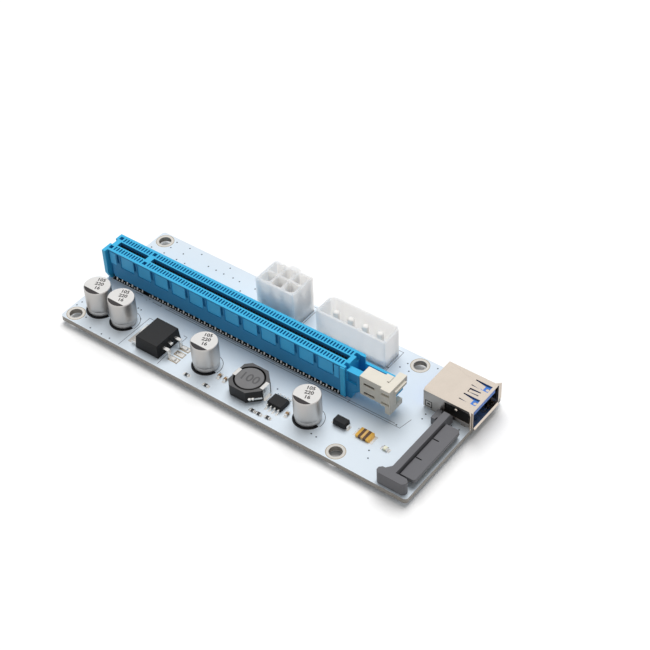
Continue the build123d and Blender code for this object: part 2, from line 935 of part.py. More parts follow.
def make_diode_terminals():
    """A folded terminal at each end of the rectifier."""
    x, y = diode_place
    half = diode_size[0] / 2
    terminals = []
    for side in (-1, 1):
        foot = [x + side * (half - diode_foot), x + side * (half + diode_terminal)]
        riser = [x + side * half, x + side * (half + diode_terminal)]
        low = diode_terminal_width / 2
        piece = block(min(foot), max(foot), y - low, y + low, 0, diode_terminal)
        piece += block(min(riser), max(riser), y - low, y + low, 0, diode_terminal_height)
        terminals.append(piece)
    return Compound(children=terminals)


def two_ended(place, size, cap, along_x=True):
    """A chip part: its body and the two metal ends that clip round it."""
    x, y = place
    length, width, height = size
    body_length = length - 2 * cap
    body = Pos(0, 0, height / 2) * Box(body_length, width, height)
    ends = []
    for side in (-1, 1):
        end = Box(cap, width, height)
        ends.append(Pos(side * (body_length + cap) / 2, 0, height / 2) * end)
    turn = Rot(0, 0, 0 if along_x else 90)
    place_at = Pos(x, y, 0) * turn
    return place_at * body, [place_at * end for end in ends]


def make_chip_parts(places, size, along_x):
    """Bodies and ends of a row of like chip parts."""
    bodies = []
    ends = []
    for place in places:
        body, caps = two_ended(place, size, chip_part_cap, along_x)
        bodies.append(body)
        ends += caps
    return Compound(children=bodies), Compound(children=ends)


def port_section(inset):
    """The folded shell's section, its corners cut, drawn looking along x."""
    section = Rectangle(port_width - 2 * inset, port_height - 2 * inset)
    if inset < port_corner / 2:
        section = chamfer(section.vertices(), port_corner - inset)
    return Plane.YZ * section


def make_port_shell():
    """The folded sheet shell with its springs, side windows, mouth lips and legs."""
    shell = extrude(port_section(0), port_length, dir=(1, 0, 0))
    shell -= Pos(-1, 0, 0) * extrude(port_section(port_sheet), port_length + 2, dir=(1, 0, 0))
    spring_tip = port_length - port_spring_margin
    small_tip = port_length - port_small_spring_margin - port_small_spring_length
    window_middle = port_length - port_side_window_margin - port_side_window_length / 2
    window = Box(port_side_window_length, 2 * port_width, port_side_window_height)
    shell -= Pos(window_middle, 0, port_side_window_lift) * window
    for side in (-1, 1):
        y = side * port_spring_spread
        shell -= spring_slits(spring_tip, -1, y, port_spring_length, port_spring_width, port_spring_opening)
    shell -= spring_slits(
        small_tip, 1, 0, port_small_spring_length, port_small_spring_width, port_small_spring_opening
    )
    shell = Pos(port_back_x, port_from_front, port_height / 2) * shell
    legs = [
        through_pin(x, y, port_leg_width, port_sheet, port_leg_overlap) for x, y in port_leg_places()
    ]
    return shell + legs + port_lips() + port_floor_strip()


def spring_slits(tip, direction, y, length, width, opening):
    """The slits beside a spring in the shell's top and the opening past its tip."""
    cut = port_spring_cut
    z = port_height / 2
    middle = tip + direction * length / 2
    slits = []
    for side in (-1, 1):
        slits.append(Pos(middle, y + side * (width - cut) / 2, z) * Box(length, cut, 3 * port_sheet))
    slits.append(Pos(tip + direction * opening / 2, y, z) * Box(opening, width, 3 * port_sheet))
    return slits


def port_floor_strip():
    """The floor's own lip, past the board's edge."""
    mouth = port_back_x + port_length
    half = port_width / 2 - port_corner
    profile = [
        (mouth - port_sheet, 0),
        (mouth, 0),
        (mouth + port_floor_lip, -port_floor_lip),
        (mouth + port_floor_lip, port_sheet - port_floor_lip),
        (mouth, port_sheet),
        (mouth - port_sheet, port_sheet),
    ]
    return front_prism(profile, port_from_front - half, port_from_front + half)


def port_lips():
    """Two lips that flare out from the sides of the mouth and guide a plug."""
    mouth = port_back_x + port_length
    root = mouth - port_flange
    low = port_corner
    high = port_height - port_corner
    lips = []
    for side in (-1, 1):
        wall = port_from_front + side * port_width / 2
        tip = wall + side * port_flange
        lip = [
            (root, wall - side * port_sheet),
            (root, wall),
            (mouth, tip),
            (mouth, tip - side * port_sheet),
            (root + port_sheet, wall - side * port_sheet),
        ]
        lips.append(flat_prism(lip, low, high))
    return lips


def port_leg_places():
    """The shell's four legs: middle of each leg's sheet."""
    edge = port_width / 2 - port_sheet / 2
    places = []
    for x in (port_back_x + port_leg_inset, port_back_x + port_length - port_leg_inset):
        places.append((x, port_from_front - edge))
        places.append((x, port_from_front + edge))
    return places


def make_port_insulator():
    """The moulded block inside the shell with the tongue that the plug slides over."""
    fit = tolerance_fit
    low = port_from_front - port_width / 2 + port_sheet + fit
    high = port_from_front + port_width / 2 - port_sheet - fit
    body = block(
        port_back_x + fit, port_back_x + port_block_length, low, high,
        port_sheet, port_height - port_sheet - fit
    )
    body = chamfer(body.edges().filter_by(Axis.X), port_corner - port_sheet)
    tongue = block(
        port_back_x + port_block_length,
        port_back_x + port_length - port_tongue_recess,
        low + port_tongue_gap,
        high - port_tongue_gap,
        port_tongue_height,
        port_tongue_height + port_tongue_thickness,
    )
    return body + tongue


def make_port_contacts():
    """Contact strips under the tongue."""
    x0 = port_back_x + port_block_length
    x1 = port_back_x + port_length - port_tongue_recess - port_contact_inset
    low = port_tongue_height - port_contact_proud
    strips = []
    for number in range(port_contact_count):
        y = port_from_front + (number - (port_contact_count - 1) / 2) * port_contact_pitch
        half = port_contact_width / 2
        strips.append(block(x0, x1, y - half, y + half, low, port_tongue_height))
    return Compound(children=strips)


def make_port_pins():
    """Two rows of signal pins, from the block through the shell's floor and the board."""
    pins = []
    for offset, count, pitch in zip(port_signal_offsets, port_signal_counts, port_signal_pitches):
        for number in range(count):
            y = port_from_front + (number - (count - 1) / 2) * pitch
            pins.append(through_pin(port_back_x + offset, y, port_pin, port_pin))
    return Compound(children=pins)


def drive_far_y():
    """The drive connector's rear end, just in front of the data port."""
    return port_from_front - port_width / 2 - drive_port_gap


def drive_near_y():
    """The drive connector's front end."""
    row = (drive_contacts - 1) * drive_contact_pitch
    return drive_far_y() - row - 2 * (drive_ear + drive_end_room + drive_tongue_end)


def drive_ear_left():
    """The left end of the connector's ears."""
    return board_length - drive_edge_gap - drive_ear_length


def drive_peg_places():
    """A locating peg under each ear."""
    near_x = drive_ear_left() + drive_peg_inset
    far_x = drive_ear_left() + drive_bar_back - drive_lug_reach / 2
    return [(near_x, drive_near_y() + drive_ear / 2), (far_x, drive_far_y() - drive_lug_width / 2)]


def drive_near_ear():
    """The bevelled rail at the front end and the gusset that joins it to the bar."""
    left = drive_ear_left()
    near = drive_near_y()
    inner = near + drive_ear
    bar_left = left + drive_bar_back
    ear = block(left, left + drive_ear_length, near, inner, 0, drive_height)
    ear = chamfer(ear.edges().filter_by(Axis.Z), drive_ear_bevel)
    gusset = [
        (bar_left - drive_gusset, inner - drive_tongue_bevel),
        (bar_left, inner - drive_tongue_bevel),
        (bar_left, inner + drive_gusset),
    ]
    return [ear, flat_prism(gusset, 0, drive_height)]


def drive_far_lug():
    """The low lug at the rear end, beside the data port, notched on both sides of its neck."""
    bar_left = drive_ear_left() + drive_bar_back
    left = bar_left - drive_lug_reach
    far = drive_far_y()
    near = far - drive_lug_width
    lug = block(left, bar_left, near, far, 0, drive_lug_height)
    notch_right = bar_left - drive_lug_neck
    notch_left = notch_right - drive_lug_notch
    for y0, y1 in ((near, near + drive_lug_notch_depth), (far - drive_lug_notch_depth, far)):
        lug -= block(notch_left, notch_right, y0, y1, 0, drive_lug_height)
    return lug


def make_drive_housing():
    """The right angle connector: an ear, a back bar, a lug and an L shaped tongue."""
    near = drive_near_y()
    far = drive_far_y()
    bar_left = drive_ear_left() + drive_bar_back
    bar_right = bar_left + drive_bar
    tongue_right = bar_right + drive_tongue_length
    tongue_low = drive_tongue_top - drive_tongue_thickness
    tongue_near = near + drive_ear + drive_end_room
    tongue_far = far - drive_ear - drive_end_room
    inset = drive_ear / 2
    bar = block(bar_left, bar_right, near + inset, far - inset, 0, drive_height)
    bar_foot = block(bar_left, bar_right, near + inset, far, 0, drive_lug_height)
    tongue = block(bar_right, tongue_right, tongue_near, tongue_far, tongue_low, drive_tongue_top)
    tongue = chamfer(tongue.edges().filter_by(Axis.Z).group_by(Axis.X)[-1], drive_tongue_bevel)
    key = block(
        bar_right,
        tongue_right - drive_tongue_bevel,
        tongue_far - drive_tongue_thickness,
        tongue_far,
        tongue_low - drive_tongue_key,
        tongue_low,
    )
    groove = block(
        bar_right,
        bar_right + drive_root_groove,
        tongue_near,
        tongue_far,
        drive_tongue_top - drive_root_depth,
        drive_tongue_top,
    )
    cuts = [groove]
    for offset in drive_slits:
        y = tongue_near + offset
        half = drive_slit_width / 2
        cuts.append(
            block(bar_right, bar_right + drive_slit_length, y - half, y + half, tongue_low, drive_tongue_top)
        )
    pegs = [through_pin(x, y, drive_peg, drive_peg) for x, y in drive_peg_places()]
    return bar + bar_foot + tongue + key + drive_near_ear() + drive_far_lug() + pegs - cuts


def make_drive_contacts():
    """Fifteen contacts: a strip under the tongue, on through the bar and down into the board."""
    bottom = -board_thickness - pin_drop
    bar_left = drive_ear_left() + drive_bar_back
    bar_right = bar_left + drive_bar
    strip_top = drive_tongue_top - drive_tongue_thickness
    strip_low = strip_top - drive_contact_proud
    strip_right = bar_right + drive_tongue_length - drive_tongue_bevel
    first = drive_near_y() + drive_ear + drive_end_room + drive_tongue_end
    half = drive_pin / 2
    contacts = []
    for number in range(drive_contacts):
        y = first + number * drive_contact_pitch
        row = bar_left + drive_bar * (drive_far_row if number % 2 else drive_near_row)
        profile = [
            (row - half, bottom),
            (row - half, strip_top),
            (strip_right, strip_top),
            (strip_right, strip_low),
            (row + half, strip_low),
            (row + half, bottom),
        ]
        contacts.append(front_prism(profile, y - half, y + half))
    return Compound(children=contacts)


def finish(name, shape):
    """Move a piece from the board's corner to the model's origin and write it."""
    placed = Pos(-overall_length / 2, -board_width / 2, board_top) * shape
    placed.label = name
    export_step(placed, "parts/" + name + ".step")


def main():
    resistors, resistor_ends = make_chip_parts(resistor_places, resistor_size, True)
    ceramics, ceramic_ends = make_chip_parts(ceramic_places, ceramic_size, False)
    fuse, fuse_ends = two_ended(fuse_place, fuse_size, fuse_cap)
    led, led_ends = two_ended(led_place, led_size, led_cap)
    pieces = {
        "circuit_board": make_board(),
        "slot_housing": make_slot_housing(),
        "slot_contacts_near": make_slot_contacts(-1),
        "slot_contacts_far": make_slot_contacts(1),
        "slot_latch": make_slot_latch(),
        "six_pin_header_housing": make_six_housing(),
        "six_pin_header_pins": make_six_pins(),
        "four_pin_header_housing": make_four_housing(),
        "four_pin_header_pins": make_four_pins(),
        "capacitor_cans": make_cans(),
        "capacitor_leads": make_can_leads(),
        "regulator_body": make_regulator_body(),
        "regulator_tab": make_regulator_tab(),
        "regulator_leads": make_regulator_leads(),
        "regulator_pads": make_regulator_pads(),
        "inductor_core": make_inductor_core(),
        "inductor_drum": make_inductor_drum(),
        "inductor_terminals": make_inductor_terminals(),
        "control_chip_body": make_chip_body(),
        "control_chip_leads": make_chip_leads(),
        "diode_body": make_diode_body(),
        "diode_terminals": make_diode_terminals(),
        "fuse_body": fuse,
        "fuse_terminals": Compound(children=fuse_ends),
        "indicator_lamp": led,
        "indicator_terminals": Compound(children=led_ends),
        "chip_resistors": resistors,
        "chip_resistor_ends": resistor_ends,
        "chip_capacitors": ceramics,
        "chip_capacitor_ends": ceramic_ends,
        "data_port_shell": make_port_shell(),
        "data_port_insulator": make_port_insulator(),
        "data_port_contacts": make_port_contacts(),
        "data_port_pins": make_port_pins(),
        "drive_power_housing": make_drive_housing(),
        "drive_power_contacts": make_drive_contacts(),
    }
    for name, shape in pieces.items():
        finish(name, shape)
    print("board", round(board_length, 2), "by", round(board_width, 2), "mm,", len(pieces), "pieces")


main()
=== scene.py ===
import bpy
import bmesh
import math
import numpy as np
from mathutils import Matrix, Vector


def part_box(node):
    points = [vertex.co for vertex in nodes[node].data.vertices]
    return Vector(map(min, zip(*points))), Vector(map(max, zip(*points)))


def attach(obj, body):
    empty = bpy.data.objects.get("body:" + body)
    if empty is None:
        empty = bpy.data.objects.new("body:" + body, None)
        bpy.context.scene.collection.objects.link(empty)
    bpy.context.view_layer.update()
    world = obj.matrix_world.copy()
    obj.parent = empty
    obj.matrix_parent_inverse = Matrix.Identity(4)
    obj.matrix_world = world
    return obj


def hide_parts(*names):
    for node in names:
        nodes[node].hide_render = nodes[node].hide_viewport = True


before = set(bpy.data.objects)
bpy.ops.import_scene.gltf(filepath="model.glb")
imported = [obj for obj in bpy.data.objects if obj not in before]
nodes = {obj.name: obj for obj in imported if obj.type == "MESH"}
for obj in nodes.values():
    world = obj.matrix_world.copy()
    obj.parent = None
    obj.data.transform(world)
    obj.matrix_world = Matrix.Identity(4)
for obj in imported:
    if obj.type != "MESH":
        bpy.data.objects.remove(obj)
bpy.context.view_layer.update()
mm = 0.001
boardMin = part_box("circuit_board")[0]
boardCorner = np.array([boardMin.x, boardMin.y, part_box("slot_housing")[0].z])  # on the board's top face
print("stage: frame loaded with", len(nodes), "nodes")


# Points are in millimetres from the board's front left corner, and above its top face.

def placed(points):
    return np.asarray(points, float) * mm + boardCorner


def fromCorner(points):
    # the other way round: x, y and z in millimetres
    return ((points - boardCorner) / mm).T


def within(values, span):
    return (values > span[0]) & (values < span[1])


def spaced(middle, step, count):
    # places a step apart, evenly round their middle
    return middle + (np.arange(count) - (count - 1) / 2) * step


def crossed(xs, ys):
    # every x with every y
    return np.stack(np.meshgrid(xs, ys, indexing="ij"), -1).reshape(-1, 2)


def newMesh(name, points, faces):
    mesh = bpy.data.meshes.new(name)
    mesh.from_pydata(placed(points).tolist(), [], [[int(i) for i in face] for face in faces])
    mesh.update()
    return mesh


def gridFaces(rows, columns, closeRows=False, closeColumns=False):
    # quads between the points of a grid whose point (i, j) has number i * columns + j
    i = np.arange(rows if closeRows else rows - 1)
    j = np.arange(columns if closeColumns else columns - 1)
    i, j = np.meshgrid(i, j, indexing="ij")
    nextI, nextJ = (i + 1) % rows, (j + 1) % columns
    quads = [i * columns + j, i * columns + nextJ, nextI * columns + nextJ, nextI * columns + j]
    return np.stack(quads, -1).reshape(-1, 4)


def repeatAt(points, faces, places):
    # one block copied to every place (x and y, or x, y and z), its faces renumbered for each copy
    points, faces, places = np.asarray(points, float), np.asarray(faces), np.asarray(places, float)
    offsets = np.zeros((len(places), 3))
    offsets[:, :places.shape[1]] = places
    moved = (offsets[:, None, :] + points[None, :, :]).reshape(-1, 3)
    steps = np.arange(len(places)) * len(points)
    return moved, (faces[None, :, :] + steps[:, None, None]).reshape(-1, faces.shape[1])


def together(*blocks):
    # several blocks of points and faces as one
    points = np.concatenate([np.asarray(p, float) for p, _ in blocks])
    steps = np.cumsum([0] + [len(p) for p, _ in blocks[:-1]])
    faces = [list(face) for (_, fs), step in zip(blocks, steps) for face in np.asarray(fs) + step]
    return points, faces


def lathe(profile, segments, closed=False):
    # each profile point (r, h) turned about z: (r cos t, r sin t, h)
    profile = np.asarray(profile, float)
    turn = np.linspace(0, 2 * np.pi, segments, endpoint=False)
    radius = profile[:, None, 0]
    height = np.repeat(profile[:, None, 1], segments, 1)
    points = np.stack([radius * np.cos(turn), radius * np.sin(turn), height], -1)
    return points.reshape(-1, 3), gridFaces(len(profile), segments, closeRows=closed, closeColumns=True)


boxFaces = np.array([[3, 2, 1, 0], [4, 5, 6, 7], [0, 1, 5, 4], [1, 2, 6, 5], [2, 3, 7, 6], [3, 0, 4, 7]])


def boxesBetween(first, second):
    # a box for each pair of four cornered faces: both faces and the four walls between
    faces = boxFaces[None] + np.arange(len(first))[:, None, None] * 8
    return np.concatenate([first, second], 1).reshape(-1, 3), faces.reshape(-1, 4)


def risen(corners, low, high):
    # boxes from flat quads: the same corners at the low level and at the high one
    levels = [np.full((len(corners), 4, 1), level) for level in (low, high)]
    return boxesBetween(*[np.concatenate([corners, level], -1) for level in levels])


def ribbons(segments, width, low, high):
    # segments (x0, y0, x1, y1) as flat bars: half a width out at the ends and along the normal
    segments = np.asarray(segments, float)
    start, end = segments[:, :2], segments[:, 2:]
    along = end - start
    along /= np.linalg.norm(along, axis=1)[:, None]
    side = np.stack([-along[:, 1], along[:, 0]], -1) * width / 2
    start, end = start - along * width / 2, end + along * width / 2
    return risen(np.stack([start - side, end - side, end + side, start + side], 1), low, high)


def outline(x0, y0, x1, y1):
    # a rectangle's four sides as segments
    return [(x0, y0, x1, y0), (x1, y0, x1, y1), (x1, y1, x0, y1), (x0, y1, x0, y0)]


def thinPlates(plates):
    # upright plates (x0, x1, z0, z1, y, thickness): the near corners, and the same set back
    x0, x1, z0, z1, y, thick = np.asarray(plates, float).T
    near = np.stack([np.stack([x, y, z], -1) for x, z in ((x0, z0), (x1, z0), (x1, z1), (x0, z1))], 1)
    return boxesBetween(near, near + np.stack([0 * y, thick, 0 * y], -1)[:, None, :])


def sweptFaces(steps):
    # the walls of a four cornered section swept along its steps, closed at both ends
    last = (steps - 1) * 4
    ends = np.array([[0, 1, 2, 3], [last + 3, last + 2, last + 1, last]])
    return np.concatenate([gridFaces(steps, 4, closeColumns=True), ends])


def arcBand(centre, inner, outer, fromDeg, toDeg, high, segments=40):
    # a flat part of a ring: radius and height go round a rectangle while the angle sweeps
    turn = np.radians(np.linspace(fromDeg, toDeg, segments))
    radius = np.array([inner, outer, outer, inner])
    height = np.repeat(np.array([[0.0, 0.0, high, high]]), segments, 0)
    x = centre[0] + np.cos(turn)[:, None] * radius
    y = centre[1] + np.sin(turn)[:, None] * radius
    return np.stack([x, y, height], -1).reshape(-1, 3), sweptFaces(segments)


def bentStrip(path, thickness, width):
    # a strip along a path in y and z: pushed both ways along the path's normal, and half a width in x
    path = np.asarray(path, float)
    tangent = np.gradient(path, axis=0)
    tangent /= np.linalg.norm(tangent, axis=1)[:, None]
    normal = np.stack([-tangent[:, 1], tangent[:, 0]], -1) * thickness / 2
    half = np.full((len(path), 1), width / 2)
    ways = ((-half, normal), (half, normal), (half, -normal), (-half, -normal))
    corners = [np.hstack([x, path + push]) for x, push in ways]
    return np.stack(corners, 1).reshape(-1, 3), sweptFaces(len(path))


def tidyMesh(mesh, mergeDistance=1e-7, flatAngle=None):
    # doubles merged, flat faces made whole if an angle is given, and faces turned outwards
    work = bmesh.new()
    work.from_mesh(mesh)
    bmesh.ops.remove_doubles(work, verts=work.verts, dist=mergeDistance)
    if flatAngle:
        bmesh.ops.dissolve_limit(
            work, angle_limit=math.radians(flatAngle), use_dissolve_boundaries=False,
            verts=work.verts, edges=work.edges, delimit={"NORMAL"}
        )
    bmesh.ops.recalc_face_normals(work, faces=work.faces)
    work.to_mesh(mesh)
    work.free()
    mesh.update()


def faceValues(mesh, key):
    # x, y and z of the middle or the normal of every face
    values = np.empty(len(mesh.polygons) * 3)
    mesh.polygons.foreach_get(key, values)
    return values.reshape(-1, 3)


def linked(name, data):
    thing = bpy.data.objects.new(name, data)
    bpy.context.scene.collection.objects.link(thing)
    return thing


def dressed(name, mesh, finishName, body="card"):
    # a new piece with its finish and its body
    mesh.materials.clear()
    mesh.materials.append(materials[finishName])
    piece = linked(name, mesh)
    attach(piece, body)
    return piece


def addPiece(name, block, finishName, smoothAngle=None, body="card"):
    # a new piece from points and faces, smooth where faces meet at less than the angle
    mesh = newMesh(name, *block)
    tidyMesh(mesh)
    if smoothAngle:
        mesh.polygons.foreach_set("use_smooth", np.ones(len(mesh.polygons), bool))
        mesh.set_sharp_from_angle(angle=math.radians(smoothAngle))
    return dressed(name, mesh, finishName, body)


# The angles in degrees below which sheet and rings, turned pieces and solder are smooth.
sheetSmooth, turnedSmooth, solderSmooth = 40, 50, 60
rounding = {"mergeDistance": 2e-6, "flatAngle": 0.6, "edgeAngle": 35, "faceWeight": 80}


def bevelEdges(piece, width, segments):
    bevel = piece.modifiers.new("roundedEdges", "BEVEL")
    bevel.width = width * mm
    bevel.segments = segments
    bevel.limit_method = "ANGLE"
    bevel.angle_limit = math.radians(rounding["edgeAngle"])
    bevel.use_clamp_overlap = True


def standIn(nodeName, name, width, segments, finishName, slotName, body="card", shape=None):
    # a copy shown in a solid's place, with its points moved by the shape and its edges rounded
    mesh = nodes[nodeName].data.copy()
    mesh.name = name
    tidyMesh(mesh, rounding["mergeDistance"], rounding["flatAngle"])
    if shape:
        points = np.empty(len(mesh.vertices) * 3)
        mesh.vertices.foreach_get("co", points)
        mesh.vertices.foreach_set("co", shape(points.reshape(-1, 3)).ravel())
    mesh.polygons.foreach_set("use_smooth", np.ones(len(mesh.polygons), bool))
    piece = dressed(name, mesh, finishName, body)
    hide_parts(nodeName)
    bevelEdges(piece, width, segments)
    piece.modifiers.new("evenNormals", "WEIGHTED_NORMAL").weight = rounding["faceWeight"]


def plainFigures(name, figures, centre, finishName):
    # figures set as text, made a mesh, and moved to their place
    text = bpy.data.curves.new(name, "FONT")
    text.body = figures["text"]
    text.size = figures["size"] * mm
    text.align_x = "CENTER"
    text.align_y = "CENTER"
    text.extrude = figures["depth"] * mm
    text.offset = figures["heavier"] * mm
    text.resolution_u = 3
    holder = linked(name + "Curve", text)
    bpy.context.view_layer.update()
    mesh = bpy.data.meshes.new_from_object(holder.evaluated_get(bpy.context.evaluated_depsgraph_get()))
    bpy.data.objects.remove(holder)
    place = Matrix.Translation(Vector(placed([(centre[0], centre[1], figures["height"])])[0]))
    mesh.transform(place @ Matrix.Rotation(math.radians(figures["turn"]), 4, "Z"))
    dressed(name, mesh, finishName)


# Shader groups: for moulded and plated grain, for drawn metal, and for a band across a part.

def newGroup(name, inputs, outputs):
    group = bpy.data.node_groups.new(name, "ShaderNodeTree")
    for label, kind, value in inputs:
        group.interface.new_socket(label, in_out="INPUT", socket_type=kind).default_value = value
    for label, kind in outputs:
        group.interface.new_socket(label, in_out="OUTPUT", socket_type=kind)
    return group, group.nodes.new("NodeGroupInput"), group.nodes.new("NodeGroupOutput")


def groupNode(tree, group, values):
    # a group in a material's tree, with the given values on its inputs
    node = tree.nodes.new("ShaderNodeGroup")
    node.node_tree = group
    for label, value in values.items():
        node.inputs[label].default_value = value
    return node


def mathNode(tree, operation, *values):
    # a Math node whose inputs are sockets or numbers
    node = tree.nodes.new("ShaderNodeMath")
    node.operation = operation
    for socket, value in zip(node.inputs, values):
        if isinstance(value, (int, float)):
            socket.default_value = value
        else:
            tree.links.new(value, socket)
    return node.outputs[0]


def mixColour(tree, factor, first, second):
    # a colour Mix node from the first to the second, each a socket or a plain tuple
    node = tree.nodes.new("ShaderNodeMix")
    node.data_type = "RGBA"
    tree.links.new(factor, [s for s in node.inputs if s.name == "Factor"][0])
    for label, colour in (("A", first), ("B", second)):
        socket = [s for s in node.inputs if s.name == label and s.type == "RGBA"][0]
        if isinstance(colour, tuple):
            socket.default_value = (*colour, 1.0)
        else:
            tree.links.new(colour, socket)
    return [s for s in node.outputs if s.type == "RGBA"][0]


def objectAxis(tree, axis):
    # the object's own coordinate along one axis
    place = tree.nodes.new("ShaderNodeTexCoord")
    split = tree.nodes.new("ShaderNodeSeparateXYZ")
    tree.links.new(place.outputs["Object"], split.inputs[0])
    return split.outputs[axis]


def facesUp(tree, least):
    # 1 where at least this share of the normal is upwards or downwards
    facing = tree.nodes.new("ShaderNodeNewGeometry")
    split = tree.nodes.new("ShaderNodeSeparateXYZ")
    tree.links.new(facing.outputs["True Normal"], split.inputs[0])
    return mathNode(tree, "GREATER_THAN", mathNode(tree, "ABSOLUTE", split.outputs["Z"]), least)


def pulledNoise(tree, scales, detail):
    # noise with a scale for each axis, long where that is small: scales is a socket or a tuple
    place = tree.nodes.new("ShaderNodeTexCoord")
    pull = tree.nodes.new("ShaderNodeVectorMath")
    pull.operation = "MULTIPLY"
    noise = tree.nodes.new("ShaderNodeTexNoise")
    noise.inputs["Scale"].default_value = 1.0
    noise.inputs["Detail"].default_value = detail
    tree.links.new(place.outputs["Object"], pull.inputs[0])
    if isinstance(scales, tuple):
        pull.inputs[1].default_value = scales
    else:
        tree.links.new(scales, pull.inputs[1])
    tree.links.new(pull.outputs[0], noise.inputs["Vector"])
    return noise.outputs["Fac"]


def buildGrainGroup():
    # fine grain as a height, broad mottle as a mask, and a roughness that goes with the mottle
    group, ins, outs = newGroup(
        "surfaceGrain",
        [("Scale", "NodeSocketFloat", 9000.0), ("Mottle Scale", "NodeSocketFloat", 350.0),
         ("Roughness", "NodeSocketFloat", 0.4), ("Spread", "NodeSocketFloat", 0.08)],
        [("Height", "NodeSocketFloat"), ("Mottle", "NodeSocketFloat"), ("Roughness", "NodeSocketFloat")],
    )
    place = group.nodes.new("ShaderNodeTexCoord")
    fine = group.nodes.new("ShaderNodeTexNoise")
    fine.inputs["Detail"].default_value = 3.0
    broad = group.nodes.new("ShaderNodeTexNoise")
    broad.inputs["Detail"].default_value = 2.0
    for noise, label in ((fine, "Scale"), (broad, "Mottle Scale")):
        group.links.new(place.outputs["Object"], noise.inputs["Vector"])
        group.links.new(ins.outputs[label], noise.inputs["Scale"])
    centred = mathNode(group, "SUBTRACT", broad.outputs["Fac"], 0.5)
    spread = mathNode(group, "MULTIPLY_ADD", centred, ins.outputs["Spread"], ins.outputs["Roughness"])
    group.links.new(fine.outputs["Fac"], outs.inputs["Height"])
    group.links.new(broad.outputs["Fac"], outs.inputs["Mottle"])
    group.links.new(spread, outs.inputs["Roughness"])
    return group


def buildDrawnGroup():
    # noise pulled long along one axis, as on rolled sheet and drawn cans
    group, ins, outs = newGroup(
        "drawnLines",
        [("Along", "NodeSocketVector", (200.0, 6000.0, 6000.0))],
        [("Height", "NodeSocketFloat")],
    )
    group.links.new(pulledNoise(group, ins.outputs["Along"], 4.0), outs.inputs["Height"])
    return group


def buildBandGroup(sharpness=20000.0):
    # 1 where the object's x lies within half a width of the middle, with a soft rim
    group, ins, outs = newGroup(
        "crossBand",
        [("Middle", "NodeSocketFloat", 0.0), ("Half Width", "NodeSocketFloat", 0.0004)],
        [("Mask", "NodeSocketFloat")],
    )
    offset = mathNode(group, "SUBTRACT", objectAxis(group, "X"), ins.outputs["Middle"])
    inside = mathNode(group, "SUBTRACT", ins.outputs["Half Width"], mathNode(group, "ABSOLUTE", offset))
    soft = mathNode(group, "ADD", mathNode(group, "MULTIPLY", inside, sharpness), 0.5)
    clamped = mathNode(group, "MINIMUM", mathNode(group, "MAXIMUM", soft, 0.0), 1.0)
    group.links.new(clamped, outs.inputs["Mask"])
    return group


grainGroup = buildGrainGroup()
drawnGroup = buildDrawnGroup()
bandGroup = buildBandGroup()

# What a finish has unless it says otherwise. Grain and mottle are noise scales, and shade is how far the
# mottle darkens and lightens the colour.
plainFinish = {
    "metallic": 0.0, "specular": 0.5, "ior": 1.5, "coat": 0.0, "coatRoughness": 0.2,
    "subsurface": 0.0, "subsurfaceScale": 0.001, "subsurfaceRadius": (1.0, 0.9, 0.8),
    "grain": 9000.0, "mottle": 350.0, "shade": 0.04, "drawn": None,
}
